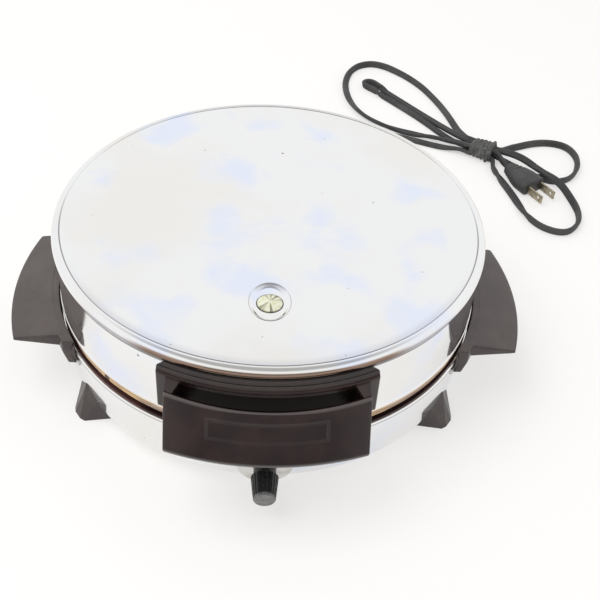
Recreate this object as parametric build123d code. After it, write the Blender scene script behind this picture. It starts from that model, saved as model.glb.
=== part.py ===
from build123d import *
import math
import os

os.makedirs("parts", exist_ok=True)

# Shells of revolution: radii from the body's own axis, heights from the surface it stands on
body_r = 127.0          # lid bead and base rim
sheet = 1.0             # drawn chromed steel
liner = 0.8             # stamped rings and pans inside
seat_gap = 0.05         # a curved piece against the wall that it is fastened to
part_gap = 0.3          # pieces of different moving bodies
run_gap = 0.05          # radial clearance of a pin or shaft in its hole
screw_gap = 0.2         # radial clearance of a screw in a sheet

# Base bowl
rim_z = 41.8
base_floor = 3.0
wall_bow_r = 206.0      # the wall bows in very gently towards the bottom
corner_r = 12.0
rim_round = 0.9
rim_lip = 7.5           # the rim turns inwards by this much
bottom_open_r = body_r - 23.0

# Lid
skirt_r = body_r - 1.4
skirt_z = 51.0
hem_out = 0.6
hem_h = 1.8
hem_slope = 0.3         # share of the hem's height that each bevel takes
bead_r = 3.8
bead_z = 91.4
bead_start = 100.0      # degrees, where the bead leaves the top panel
panel_edge_in = 4.7     # crease of the top panel, inside body_r
panel_edge_z = 94.9
crown_h = 2.1

# Jewel and its oval dimple
jewel_y = -(body_r - 51.0)
dimple_x = 11.8
dimple_y = 15.5
dimple_depth = 2.6
dimple_taper = 35.0
dimple_lead = 1.0       # the dimple's tool starts this far above the panel
lens_r = 7.6
lens_flange = 1.4
lens_flange_t = 1.2
lens_facets = 12
lens_rise = 3.2
lens_taper = 30.0
lens_clear = 0.15
lens_band = 0.4         # straight part of the lens above the dimple's floor
clip_t = 0.6
clip_out = 3.0
clip_in = 2.0
lamp_r = 4.5
lamp_base_h = 4.0
lamp_gap = 1.0          # under the lens clip
lamp_wall = 1.0
lamp_plate_half = 9.0

# Waffle grids
parting_z = 46.0
grid_r = body_r - 24.5
grid_rim_w = 4.0
grid_depth = 8.0
grid_plate = 5.0
stud_pitch = 15.0
stud_base = 9.6
stud_taper = 10.0
stud_below = 2.5        # stud tops stay this far from the parting plane
rib_w = 3.2
boss_r = 5.0
boss_count = 3
boss_circle = 46.0
cell_clear = 1.0        # studs stay this far from the rim

# Heaters
coil_circle = grid_r - 28.5
coil_r = 3.5
coil_span = 320.0
coil_tail = 14.0
coil_from_grid = 8.0    # coil axis to the back of the grid
insulator_count = 6
insulator_r = 6.0
coil_clear = 0.2
pan_from_coil = 9.5
pan_r = grid_r + 5.5
pan_flange = 5.0

# Rings round the grids
ring_gap = 0.7
drip_seat = 6.0         # overlap of the drip ring on the rim's lip
drip_clear = 0.6        # its slope to the lip's edge
drip_lean = 0.4         # shift of the slope through the sheet
trim_band_h = 4.4
trim_show = 3.5         # how far the trim band shows under the skirt
trim_gap = 0.2

# Lid handle, on the body's front
lh_plate_t = 4.7
lh_plate_low = 58.0
lh_plate_top = 83.5
lh_plate_half = 57.5
lh_top_r = body_r + 13.5
lh_top_z = 81.5
lh_low_r = body_r + 28.6
lh_low_z = 57.0
lh_panel_t = 3.2
lh_panel_half = 52.5
lh_lip_in = 1.4
lh_lip_drop = 2.6
lh_lip_cut = 1.0        # the finger gap passes this far inside the lip
lh_top_step = 0.6       # end webs start this far below the plate's top
lh_gap_in = 44.5        # half width of the finger gap at the plate
lh_gap_out = 49.2       # half width of the finger gap at the panel
lh_name_w = 60.0
lh_name_h = 8.6
lh_name_depth = 0.6
lh_name_down = 11.8     # centre of the bare nameplate field, down the panel

# Side handles, on the base
sh_plate_low = 33.0
sh_plate_top = 50.0
sh_plate_r0 = body_r + 4.2      # outer radius at the plate's foot
sh_plate_r1 = body_r + 6.5      # outer radius where the wing leaves it
sh_middle = -13.5       # along Y: they stand a little in front of the body's axis
sh_plate_half = 51.0
sh_root_low = 41.5
sh_wing_half = 46.0
sh_wing_reach = body_r + 26.0   # at the middle
sh_wing_end = body_r + 18.7     # at both ends
sh_tip_low = 45.0
sh_tip_top = 47.0
sh_sector = 90.0        # degrees that each handle is turned through before its ends are cut

# Feet
foot_angle = 34.3       # from the X axis
foot_top_z = 22.4
foot_top_r = body_r - 0.4
foot_reach = body_r + 7.2
foot_in_r = body_r - 15.0
foot_shoulder_r = body_r - 1.8
foot_shoulder_z = 15.0
foot_shoulder_half = 10.0
foot_waist_r = body_r + 3.8
foot_waist_half = 4.5
foot_waist_z = 7.0
foot_toe_half = 6.0
foot_toe_r = body_r + 6.4
foot_heel_half = 13.0
foot_heel_r = body_r - 8.0
foot_screw_z = 13.5

# Screws and rivets
screw_r = 1.5
screw_head_r = 3.2
screw_head_t = 1.6
thread_gap = 0.02       # radial clearance of a thread in its hole
thread_r = screw_r + thread_gap
rivet_r = 1.8
rivet_t = 0.9
rivet_past = 2.6        # along Y, from the ends of the side handles' plates
rivet_z = 36.5
rivet_hole = 0.5        # share of the rivet's head radius
rivet_shank = 0.4
rivet_gap = 0.02
foot_screw_len = 3.2
side_screw_len = 4.6
side_screw_y = 33.0     # from the handle's middle
side_screw_z = 37.0
bracket_screw_len = 2.2
bracket_screw_angle = 6.5
bracket_screw_z = 27.0
handle_screw_len = 3.8
handle_screw_angle = 16.0
handle_screw_z = 70.0
arm_screw_grip = 1.2    # past the arm's plate
arm_screw_angle = 6.0
arm_screw_z = 74.0
grid_screw_len = 9.0
plate_screw_len = 3.0
wall_seat = sheet + 0.08    # a flat head on the round inside of the wall
foot_seat = sheet + 0.5     # the same where the wall turns into its corner
past = 5.0              # cutting shapes run past the piece by at least this much

# Thermostat and dial
dial_z = 23.0
dial_r = 15.5
dial_t = 2.6
dial_edge = 0.8
shaft_r = 3.0
bushing_r = 4.5
nut_r = 6.4
nut_t = 1.6
nut_room = 0.4
thermo_w = 30.0
thermo_h = 19.0
thermo_d = 12.0
thermo_in = 2.6         # behind the wall
thermo_back = 2.0       # left behind the shaft's bore
shaft_play = 0.4        # end play of the shaft
knob_gap = 0.5
knob_len = 20.5
knob_neck_r = 6.2
knob_neck_len = 5.2
knob_cone = 1.4         # from the neck out to the widest part
knob_wide_r = 7.6
knob_end_r = 6.1
knob_end_edge = 0.6
flute_count = 24
flute_r = 0.55
flute_out = 0.1         # axis of a flute, outside the knob's face
flute_lead = 1.2
knob_wall = 2.2

# Floating hinge
hinge_y = body_r + 11.0
hinge_z = 46.0
float_travel = 7.0
pin_r = 3.0
pin_end = 1.2           # past its clips
arm_half = 19.0         # half the arm's width
ear_gap = 0.4           # from the arm to an ear
ear_in = arm_half + ear_gap
ear_t = 3.6
ear_r = 12.4            # reach of the ear round the pin
ear_half_y = 8.0
bracket_low = 16.0
bracket_root = 12.0     # its stock starts this far inside the body
ear_low = 24.0
ear_lap = 2.0
stop_below = 0.5        # top of the stop, under the pin's axis
stop_y = 8.4            # stop face of the bracket, in front of the pin
knuckle_r = 6.4
arm_plate_t = 3.0
arm_top = 80.0
arm_above_hem = 3.0
web_root = 4.0
web_foot = 1.0
web_h = 12.0
web_lean = 35.0         # degrees, where the web meets the knuckle
heel_angle = 285.0
heel_r = 7.8
heel_w = 3.0
heel_root = 2.0
clip_plate_t = 1.0
clip_plate_r = 5.0

# Bottom plate
vent_count = 8
vent_len = 34.0
vent_w = 4.0
vent_circle = 70.0
plate_lap = 6.5
bottom_screws = 4

# Cord outlet
outlet_angle = 71.0     # from +X, at the back on the right
outlet_z = 19.0
outlet_r = 6.5
outlet_stem_r = 4.6
outlet_flange_t = 2.6
outlet_neck_r = 5.2
outlet_tip_r = 3.3
outlet_out = 22.0
outlet_in = 3.0
outlet_grip = 0.5       # collar behind the wall

# Terminal block inside the base
terminal_x = 34.0
terminal_y = 52.0
terminal_len = 30.0
terminal_wide = 14.0
terminal_h = 7.0
terminal_pitch = 10.0
terminal_hole_r = 2.0
terminal_hole_low = 3.0


def polar(r, degrees, z=0.0):
    a = math.radians(degrees)
    return (r * math.cos(a), r * math.sin(a), z)


def spin(points, start=0.0, sweep=360.0):
    """Turn a closed outline of (radius, height) points about the body's axis."""
    face = make_face(Polyline([(r, 0, z) for r, z in points], close=True))
    return revolve(Rot(0, 0, start) * face, Axis.Z, sweep)


def ring(r_in, r_out, low, top):
    return spin([(r_in, low), (r_out, low), (r_out, top), (r_in, top)])


def drum(r, low, top):
    return Pos(0, 0, (low + top) / 2) * Cylinder(r, top - low)


def block(x0, x1, y0, y1, z0, z1):
    return Pos((x0 + x1) / 2, (y0 + y1) / 2, (z0 + z1) / 2) * Box(x1 - x0, y1 - y0, z1 - z0)


def rod(plane, r, start, end):
    """A round bar along the plane's normal, between two distances from its origin."""
    return plane * Pos(0, 0, (start + end) / 2) * Cylinder(r, end - start)


def group(pieces):
    return Compound(children=list(pieces))


# The base wall is an arc with its centre level with the rim, and a corner arc tangent to it
wall_cx = body_r - wall_bow_r
corner_z = base_floor + corner_r
corner_cx = wall_cx + math.sqrt((wall_bow_r - corner_r) ** 2 - (rim_z - corner_z) ** 2)
corner_turn = math.asin((rim_z - corner_z) / (wall_bow_r - corner_r))


def wall_r(z):
    """Outer radius of the base wall at a height above the corner."""
    return wall_cx + math.sqrt(wall_bow_r ** 2 - (rim_z - z) ** 2)


def wall_plane(z, degrees):
    """A plane on the base wall, with its normal pointing out of it."""
    tilt = math.asin((rim_z - z) / wall_bow_r)
    r = wall_r(z)
    out = polar(math.cos(tilt), degrees)
    along = polar(1.0, degrees + 90.0)
    return Plane(origin=polar(r, degrees, z), x_dir=along, z_dir=(out[0], out[1], -math.sin(tilt)))


def base_block(inset, top):
    """The base's outline as a solid block, with its surface set in by inset."""
    r_wall = wall_bow_r - inset
    r_corner = corner_r - inset

    def on_wall(turn):
        return (wall_cx + r_wall * math.cos(turn), 0, rim_z - r_wall * math.sin(turn))

    def on_corner(turn):
        return (corner_cx + r_corner * math.cos(turn), 0, corner_z - r_corner * math.sin(turn))

    low = corner_z - r_corner
    half_turn = (corner_turn + math.pi / 2) / 2
    edges = [
        Line((0, 0, low), on_corner(math.pi / 2)),
        ThreePointArc(on_corner(math.pi / 2), on_corner(half_turn), on_corner(corner_turn)),
        ThreePointArc(on_wall(corner_turn), on_wall(corner_turn / 2), on_wall(0)),
    ]
    if top < rim_z:
        start = on_wall(math.asin((rim_z - top) / r_wall))
        edges[2] = ThreePointArc(on_wall(corner_turn), on_wall(corner_turn / 2), start)
    else:
        start = on_wall(0)
    edges.append(Line(start, (0, 0, top)))
    edges.append(Line((0, 0, top), (0, 0, low)))
    return revolve(make_face(edges), Axis.Z, 360)


outer_base = base_block(0.0, rim_z)
rim_edge = outer_base.edges().filter_by(GeomType.CIRCLE).sort_by(Axis.Z)[-1]
outer_base = fillet(rim_edge, rim_round)
seat_base = base_block(-seat_gap, rim_z)
rim_in_r = body_r - rim_lip


def base_screw(plane, out_len, in_len):
    """A screw driven from inside the base: head inside, shank out through the wall."""
    head = rod(plane, screw_head_r, -in_len - screw_head_t, -in_len)
    return head + rod(plane, screw_r, -in_len, out_len)


# Places of the fasteners that go through the base wall
def beside_middle(reach):
    """Angles of two places on the right of the wall, at this reach from the side handle's middle."""
    return [math.degrees(math.asin((sh_middle + y) / body_r)) for y in (-reach, reach)]


right_screw_angles = beside_middle(side_screw_y)
right_rivet_angles = beside_middle(sh_plate_half + rivet_past)
foot_angles = [foot_angle, 180 - foot_angle, 180 + foot_angle, 360 - foot_angle]
side_angles = right_screw_angles + [180 - a for a in right_screw_angles]
rivet_angles = right_rivet_angles + [180 - a for a in right_rivet_angles]
bracket_angles = [90 - bracket_screw_angle, 90 + bracket_screw_angle]
front_plane = wall_plane(dial_z, -90.0)
outlet_plane = wall_plane(outlet_z, outlet_angle)


def wall_screw_planes():
    planes = [wall_plane(side_screw_z, a) for a in side_angles]
    planes += [wall_plane(foot_screw_z, a) for a in foot_angles]
    planes += [wall_plane(bracket_screw_z, a) for a in bracket_angles]
    return planes


def base_shell():
    inner = base_block(sheet, rim_z - sheet)
    shell = outer_base - inner
    shell -= drum(rim_in_r, rim_z - 2 * sheet, rim_z + sheet)
    shell -= drum(bottom_open_r, base_floor - sheet, base_floor + 2 * sheet)
    for plane in wall_screw_planes():
        shell -= rod(plane, screw_r + screw_gap, -2 * sheet, sheet)
    for angle in rivet_angles:
        shell -= rod(wall_plane(rivet_z, angle), rivet_r * rivet_hole, -2 * sheet, sheet)
    shell -= rod(front_plane, bushing_r + screw_gap, -2 * sheet, sheet)
    shell -= rod(outlet_plane, outlet_stem_r + seat_gap, -2 * sheet, sheet)
    for angle in bottom_screw_angles:
        x, y, z = polar(bottom_screw_r, angle)
        shell -= Pos(x, y, 0) * drum(screw_r + screw_gap, 0, base_floor + 2 * sheet)
    return shell


# Bottom plate
plate_r = bottom_open_r + plate_lap
bottom_screw_r = bottom_open_r + plate_lap / 2
bottom_screw_angles = [90.0 * i for i in range(bottom_screws)]
plate_top = base_floor + 2 * sheet


def bottom_plate():
    plate = drum(plate_r, base_floor + sheet, plate_top)
    for i in range(vent_count):
        slot = extrude(SlotOverall(vent_len, vent_w), 3 * sheet)
        turned = Rot(0, 0, 360.0 * i / vent_count) * Pos(vent_circle, 0, base_floor) * slot
        plate -= turned
    for angle in bottom_screw_angles:
        x, y, z = polar(bottom_screw_r, angle)
        plate -= Pos(x, y, 0) * drum(screw_r + screw_gap, 0, plate_top + sheet)
    return plate


def bottom_plate_screws():
    screws = []
    for angle in bottom_screw_angles:
        x, y, z = polar(bottom_screw_r, angle)
        body = drum(screw_head_r, base_floor - screw_head_t, base_floor)
        body += drum(screw_r, base_floor, plate_top + plate_screw_len)
        screws.append(Pos(x, y, 0) * body)
    return group(screws)


# Feet: a wedge cut by its facets, seated on the bowl
def foot(angle):
    half = foot_heel_half + past
    body = block(foot_in_r, foot_reach + past, -half, half, 0, foot_top_z)
    top = (foot_top_r, 0, foot_top_z)

    def cut(solid, a, b, c):
        va, vb, vc = Vector(*a), Vector(*b), Vector(*c)
        normal = (vb - va).cross(vc - va).normalized()
        middle = Vector(foot_heel_r, 0, 1)
        if (middle - va).dot(normal) > 0:
            normal = normal * -1
        return split(solid, Plane(origin=va, z_dir=normal), keep=Keep.BOTTOM)

    body = cut(body, top, (foot_top_r, 1, foot_top_z), (foot_reach, 0, 0))
    for side in (1, -1):
        shoulder = (foot_shoulder_r, side * foot_shoulder_half, foot_shoulder_z)
        waist = (foot_waist_r, side * foot_waist_half, foot_waist_z)
        toe = (foot_toe_r, side * foot_toe_half, 0)
        heel = (foot_heel_r, side * foot_heel_half, 0)
        body = cut(body, top, shoulder, waist)
        body = cut(body, shoulder, toe, heel)
    body = Rot(0, 0, angle) * body
    body -= seat_base
    body -= rod(wall_plane(foot_screw_z, angle), thread_r, -past, foot_screw_len)
    return body


def foot_screws():
    planes = [wall_plane(foot_screw_z, a) for a in foot_angles]
    return group([base_screw(p, foot_screw_len, foot_seat) for p in planes])


# Side handles
def side_handle():
    """The right one."""
    section = [
        (body_r + seat_gap, sh_plate_low), (sh_plate_r0, sh_plate_low),
        (sh_plate_r1, sh_root_low), (sh_plate_r1, sh_plate_top), (body_r + seat_gap, sh_plate_top),
    ]
    plate = spin(section, -sh_sector / 2, sh_sector)
    far = sh_wing_reach + past
    plate &= block(0, far, sh_middle - sh_plate_half, sh_middle + sh_plate_half, 0, 2 * rim_z)
    front, rear = sh_middle - sh_wing_half, sh_middle + sh_wing_half
    wing_tip = math.hypot(sh_wing_end, front) + past
    wing = spin([(sh_plate_r1 - sheet, sh_root_low), (wing_tip, sh_tip_low),
                 (wing_tip, sh_tip_top), (sh_plate_r1 - sheet, sh_plate_top)], -sh_sector / 2, sh_sector)
    outline = make_face([
        Line((0, front), (sh_wing_end, front)),
        ThreePointArc((sh_wing_end, front), (sh_wing_reach, sh_middle), (sh_wing_end, rear)),
        Line((sh_wing_end, rear), (0, rear)),
        Line((0, rear), (0, front)),
    ])
    wing &= extrude(outline, 2 * rim_z)
    handle = plate + wing
    for angle in right_screw_angles:
        handle -= rod(wall_plane(side_screw_z, angle), thread_r, -past, side_screw_len)
    return handle


def side_handle_screws():
    planes = [wall_plane(side_screw_z, a) for a in side_angles]
    return group([base_screw(p, side_screw_len, wall_seat) for p in planes])


def rim_rivets():
    rivets = []
    for angle in rivet_angles:
        plane = wall_plane(rivet_z, angle)
        head = rod(plane, rivet_r, rivet_gap, rivet_t)
        rivets.append(head + rod(plane, rivet_r * rivet_shank, -2 * sheet, rivet_t / 2))
    return group(rivets)


# Waffle grids: made with the parting plane at zero and the back below it
stud_h = grid_depth - stud_below
back_z = -(grid_depth + grid_plate)
coil_z = back_z - coil_from_grid
pan_z = coil_z - pan_from_coil
floor_r = grid_r - grid_rim_w
boss_angles = [90.0 + 360.0 / boss_count * i for i in range(boss_count)]


def grid_rim():
    """The casting's rim, which closes on the other grid at the parting plane."""
    return ring(floor_r, grid_r, back_z, 0)


def waffle_grid():
    body = drum(floor_r, back_z, -grid_depth)
    reach = int(floor_r // stud_pitch) + 1
    cells = []
    for i in range(-reach, reach):
        for j in range(-reach, reach):
            x = (i + 0.5) * stud_pitch
            y = (j + 0.5) * stud_pitch
            if math.hypot(abs(x) + stud_base / 2, abs(y) + stud_base / 2) < floor_r - cell_clear:
                cells.append(Pos(x, y, -grid_depth - 0.1) * Rectangle(stud_base, stud_base))
    studs = extrude(Sketch() + cells, stud_h + 0.1, taper=stud_taper)
    bar = block(-floor_r, floor_r, -rib_w / 2, rib_w / 2, -grid_depth - 0.1, -stud_below)
    ribs = (bar + Rot(0, 0, 90) * bar) & drum(floor_r, back_z, 0)
    body = body + ribs + studs
    for angle in boss_angles:
        x, y, z = polar(boss_circle, angle)
        body += Pos(x, y, 0) * drum(boss_r, pan_z, back_z + 0.1)
        body -= Pos(x, y, 0) * drum(thread_r, pan_z - 1, pan_z + grid_screw_len)
    return body


def grid_screws():
    screws = []
    for angle in boss_angles:
        x, y, z = polar(boss_circle, angle)
        screw = drum(screw_head_r, pan_z - liner - screw_head_t, pan_z - liner)
        screw += drum(screw_r, pan_z - liner, pan_z + grid_screw_len)
        screws.append(Pos(x, y, 0) * screw)
    return group(screws)


def heating_coil():
    start = 90 + (360 - coil_span) / 2
    path = Pos(0, 0, coil_z) * CenterArc((0, 0), coil_circle, start, coil_span)
    section = Plane(origin=path @ 0, z_dir=path % 0) * Circle(coil_r)
    coil = sweep(section, path)
    for angle in (start, start + coil_span):
        inward = polar(-1, angle)
        plane = Plane(origin=polar(coil_circle, angle, coil_z), z_dir=inward)
        coil += rod(plane, coil_r, 0, coil_tail)
        coil += Pos(*polar(coil_circle, angle, coil_z)) * Sphere(coil_r)
    return coil


def insulators():
    groove = Pos(0, 0, coil_z) * Torus(coil_circle, coil_r + coil_clear)
    posts = []
    for i in range(insulator_count):
        x, y, z = polar(coil_circle, 360.0 / insulator_count * (i + 0.5) - 90)
        post = Pos(x, y, 0) * drum(insulator_r, pan_z, coil_z)
        posts.append(post - groove)
    return group(posts)


# The stamped rings round the grids lie level with the grid's floor
ring_in_r = grid_r + ring_gap
ring_flat_r = pan_r + pan_flange
flat_low = -grid_depth - liner
pan_top = flat_low


def reflector_pan():
    pan = drum(pan_r, pan_z - liner, pan_top)
    pan -= drum(pan_r - liner, pan_z, pan_top + 1)
    pan += ring(pan_r - liner, ring_flat_r, pan_top - liner, pan_top)
    for angle in boss_angles:
        x, y, z = polar(boss_circle, angle)
        pan -= Pos(x, y, 0) * drum(screw_r + screw_gap, pan_z - 2, pan_z + 1)
    return pan


def drip_ring():
    low = parting_z + flat_low
    slope_top = rim_in_r - drip_clear
    seat_r = rim_in_r + drip_seat
    section = [
        (ring_in_r, low), (ring_flat_r, low), (slope_top, rim_z), (seat_r, rim_z),
        (seat_r, rim_z + liner), (slope_top - drip_lean, rim_z + liner),
        (ring_flat_r - drip_lean, low + liner), (ring_in_r, low + liner),
    ]
    return spin(section)


upper_parting = parting_z + part_gap


def lower(piece):
    return Pos(0, 0, parting_z) * piece


def upper(piece):
    return Pos(0, 0, upper_parting) * mirror(piece, about=Plane.XY)


# Lid: outline by arcs, the same curves set in by the sheet for the inside
panel_r = body_r - panel_edge_in
bead_cx = body_r - bead_r
crown_r = (panel_r ** 2 + crown_h ** 2) / (2 * crown_h)
crown_z = panel_edge_z + crown_h


def crown_at(r):
    return crown_z - crown_r + math.sqrt(crown_r ** 2 - r ** 2)


def lid_block(inset, low):
    r = bead_r - inset
    turn = math.degrees(math.acos((skirt_r - inset - bead_cx) / r))
    skirt_top = bead_z - r * math.sin(math.radians(turn))

    def on_bead(degrees):
        a = math.radians(degrees)
        return (bead_cx + r * math.cos(a), 0, bead_z + r * math.sin(a))

    edge = (panel_r, 0, panel_edge_z - inset)
    middle = (panel_r / 2, 0, crown_at(panel_r / 2) - inset)
    edges = [
        ThreePointArc((0, 0, crown_z - inset), middle, edge),
        Line(edge, on_bead(bead_start)),
        ThreePointArc(on_bead(bead_start), on_bead((bead_start - turn) / 2), on_bead(-turn)),
        Line((skirt_r - inset, 0, skirt_top), (skirt_r - inset, 0, low)),
        Line((skirt_r - inset, 0, low), (0, 0, low)),
        Line((0, 0, low), (0, 0, crown_z - inset)),
    ]
    return revolve(make_face(edges), Axis.Z, 360)


jewel_top = crown_at(abs(jewel_y))
dimple_floor = jewel_top - dimple_depth
dimple_slope = math.tan(math.radians(dimple_taper))


def dimple_tool(grow, deeper):
    """An oval plug with sloping sides from above the panel down to the dimple's floor."""
    ovals = []
    for z in (dimple_floor - deeper, jewel_top + dimple_lead):
        spread = grow + (z - jewel_top) * dimple_slope
        ovals.append(Pos(0, jewel_y, z) * Ellipse(dimple_x + spread, dimple_y + spread))
    return loft(Sketch() + ovals, ruled=True)


def skirt_plane(z, degrees):
    return Plane(origin=polar(skirt_r, degrees, z), x_dir=polar(1, degrees + 90), z_dir=polar(1, degrees))


handle_screw_angles = [-90 - handle_screw_angle, -90 + handle_screw_angle]
arm_screw_angles = [90 - arm_screw_angle, 90 + arm_screw_angle]
arm_screw_len = arm_plate_t + arm_screw_grip


def lid_shell():
    outside = lid_block(0.0, skirt_z)
    hem = [
        (skirt_r - sheet / 2, skirt_z), (skirt_r + hem_out / 2, skirt_z),
        (skirt_r + hem_out, skirt_z + hem_h * hem_slope),
        (skirt_r + hem_out, skirt_z + hem_h * (1 - hem_slope)),
        (skirt_r, skirt_z + hem_h), (skirt_r - sheet / 2, skirt_z + hem_h),
    ]
    shell = outside - lid_block(sheet, skirt_z - sheet)
    shell += spin(hem)
    shell += dimple_tool(sheet, sheet) & outside
    shell -= dimple_tool(0.0, 0.0)
    hole_r = lens_r + lens_clear
    shell -= Pos(0, jewel_y, dimple_floor) * Cylinder(hole_r, 4 * sheet)
    for angle in handle_screw_angles:
        shell -= rod(skirt_plane(handle_screw_z, angle), screw_r + screw_gap, -past, past)
    for angle in arm_screw_angles:
        shell -= rod(skirt_plane(arm_screw_z, angle), screw_r + screw_gap, -past, past)
    return shell


lens_low = dimple_floor - sheet - lens_flange_t


def signal_lens():
    lens = Pos(0, jewel_y, 0) * drum(lens_r + lens_flange, lens_low, lens_low + lens_flange_t)
    lens += Pos(0, jewel_y, 0) * drum(lens_r, lens_low, dimple_floor + lens_band)
    crown = extrude(RegularPolygon(lens_r - 0.1, lens_facets), lens_rise, taper=lens_taper)
    return lens + Pos(0, jewel_y, dimple_floor + lens_band - 0.1) * crown


def lens_clip():
    r = lens_r + lens_flange
    return Pos(0, jewel_y, 0) * ring(lens_r - clip_in, r + clip_out, lens_low - clip_t, lens_low)


pan_back = upper_parting - pan_z + liner


def lamp_bracket():
    half = lamp_plate_half
    foot_plate = block(-half, half, jewel_y - half, jewel_y + half, pan_back, pan_back + liner)
    return foot_plate + Pos(0, jewel_y, 0) * drum(lamp_r + lamp_wall, pan_back, pan_back + lamp_base_h)


def pilot_lamp():
    top = lens_low - clip_t - lamp_gap
    stem = drum(lamp_r, pan_back + lamp_base_h, top)
    stem = fillet(stem.edges().sort_by(Axis.Z)[-1], lamp_r * 0.45)
    return Pos(0, jewel_y, 0) * stem


trim_r = skirt_r - sheet - trim_gap
trim_low = skirt_z - trim_show


def lid_trim_ring():
    flat = upper_parting + grid_depth
    top = trim_low + trim_band_h
    band = ring(trim_r - liner, trim_r, trim_low, top)
    middle = trim_r - liner / 2
    cone = [
        (ring_in_r, flat), (ring_flat_r, flat), (middle, top - liner), (middle, top),
        (ring_flat_r, flat + liner), (ring_in_r, flat + liner),
    ]
    return band + spin(cone)


# Lid handle: a curved plate, end webs and a sloping panel, with the finger gap between them
lh_in_r = skirt_r + seat_gap
lh_plate_r = lh_in_r + lh_plate_t
lh_run = lh_low_r - lh_top_r
lh_fall = lh_top_z - lh_low_z
lh_len = math.hypot(lh_run, lh_fall)
lh_nr = lh_fall / lh_len
lh_nz = lh_run / lh_len


def panel_point(down, out):
    """A point of the panel's section: down its slope from the top edge, and out from its face."""
    r = lh_top_r + lh_run * down / lh_len + lh_nr * out
    z = lh_top_z - lh_fall * down / lh_len + lh_nz * out
    return (r, z)


def front_plan(half_in, half_out):
    """A plan outline symmetric about the front, narrower at the plate than far out."""
    far = lh_low_r + past
    points = [(-half_in, -lh_plate_r), (-half_out, -lh_top_r), (-half_out, -far),
              (half_out, -far), (half_out, -lh_top_r), (half_in, -lh_plate_r),
              (half_in, 0), (-half_in, 0)]
    return extrude(make_face(Polyline([(x, y, 0) for x, y in points], close=True)), crown_z)


def lid_handle():
    wide = 2 * math.degrees(math.asin(lh_plate_half / lh_in_r)) + 2 * past
    start = -90 - wide / 2
    plate = spin([(lh_in_r, lh_plate_low), (lh_plate_r, lh_plate_low),
                  (lh_plate_r, lh_plate_top), (lh_in_r, lh_plate_top)], start, wide)
    plate &= block(-lh_plate_half, lh_plate_half, -lh_plate_r - past, 0, 0, crown_z)
    lip = (lh_low_r - lh_lip_in, lh_low_z - lh_lip_drop)
    inner_top = panel_point(0, -lh_panel_t)
    inner_low = panel_point(lh_len, -lh_panel_t)
    body = spin([(lh_plate_r - sheet, lh_plate_low), (lh_plate_r - sheet, lh_plate_top - lh_top_step),
                 (lh_top_r, lh_top_z), (lh_low_r, lh_low_z), lip, inner_low], start, wide)
    body &= block(-lh_panel_half, lh_panel_half, -lh_low_r - past, 0, 0, crown_z)
    cut_r = lip[0] - lh_lip_cut
    cut_z = lh_plate_low - 2 * past
    gap = spin([(lh_plate_r, cut_z), (lh_plate_r, crown_z), (inner_top[0], crown_z), inner_top, inner_low,
                (cut_r, lip[1] - lh_lip_cut), (cut_r, cut_z)], start, wide)
    gap &= front_plan(lh_gap_in, lh_gap_out)
    handle = plate + (body - gap)
    half_turn = math.degrees(math.asin(lh_name_w / 2 / lh_low_r))
    low = panel_point(lh_name_down + lh_name_h / 2, 0)
    high = panel_point(lh_name_down - lh_name_h / 2, 0)
    low_in = panel_point(lh_name_down + lh_name_h / 2, -lh_name_depth)
    high_in = panel_point(lh_name_down - lh_name_h / 2, -lh_name_depth)
    low_out = panel_point(lh_name_down + lh_name_h / 2, past)
    high_out = panel_point(lh_name_down - lh_name_h / 2, past)
    handle -= spin([low_out, low, low_in, high_in, high, high_out], -90 - half_turn, 2 * half_turn)
    for angle in handle_screw_angles:
        handle -= rod(skirt_plane(handle_screw_z, angle), thread_r, -past, handle_screw_len)
    return handle


def skirt_screws(z, angles, out_len):
    screws = []
    for angle in angles:
        screws.append(base_screw(skirt_plane(z, angle), out_len, wall_seat))
    return group(screws)


# Thermostat behind the dial, along the normal of the wall
thermo_start = sheet + thermo_in
bore_end = thermo_start + thermo_d - thermo_back
bore_out = dial_t + past
nut_seat = dial_t - nut_t
knob_start = dial_t + knob_gap


def thermostat_body():
    body = Pos(0, 0, -thermo_start - thermo_d / 2) * Box(thermo_w, thermo_h, thermo_d)
    body += Pos(0, 0, (dial_t - thermo_start) / 2) * Cylinder(bushing_r, dial_t + thermo_start)
    body -= Pos(0, 0, (bore_out - bore_end) / 2) * Cylinder(shaft_r + run_gap, bore_out + bore_end)
    return front_plane * body


def dial_plate():
    dial = rod(front_plane, dial_r, -past, dial_t)
    edge = dial.edges().filter_by(GeomType.CIRCLE).sort_by(Axis.Y)[0]
    dial = chamfer(edge, dial_edge)
    dial -= seat_base
    dial -= rod(front_plane, bushing_r + screw_gap, -2 * past, past)
    dial -= rod(front_plane, nut_r + nut_room, nut_seat, past)
    return dial


def bushing_nut():
    nut = extrude(RegularPolygon(nut_r, 6), nut_t) - Cylinder(bushing_r + thread_gap, 4 * nut_t)
    return front_plane * Pos(0, 0, nut_seat) * nut


def thermostat_shaft():
    return rod(front_plane, shaft_r, -bore_end + shaft_play, knob_start + knob_len - knob_wall)


def knob():
    skirt = knob_neck_len + knob_cone
    outline = [(0, 0), (knob_neck_r, 0), (knob_neck_r, knob_neck_len), (knob_wide_r, skirt),
               (knob_end_r, knob_len - knob_end_edge), (knob_end_r - knob_end_edge, knob_len), (0, knob_len)]
    body = spin(outline)
    slope = math.atan((knob_wide_r - knob_end_r) / (knob_len - skirt))
    for i in range(flute_count):
        a = 360.0 / flute_count * i
        side = polar(1, a)
        run = (-math.sin(slope) * side[0], -math.sin(slope) * side[1], math.cos(slope))
        plane = Plane(origin=polar(knob_wide_r + flute_out, a, skirt), z_dir=run)
        body -= rod(plane, flute_r, -flute_lead, knob_len)
    body -= Pos(0, 0, (knob_len - knob_wall) / 2) * Cylinder(shaft_r, knob_len - knob_wall)
    return front_plane * Pos(0, 0, knob_start) * body


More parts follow.
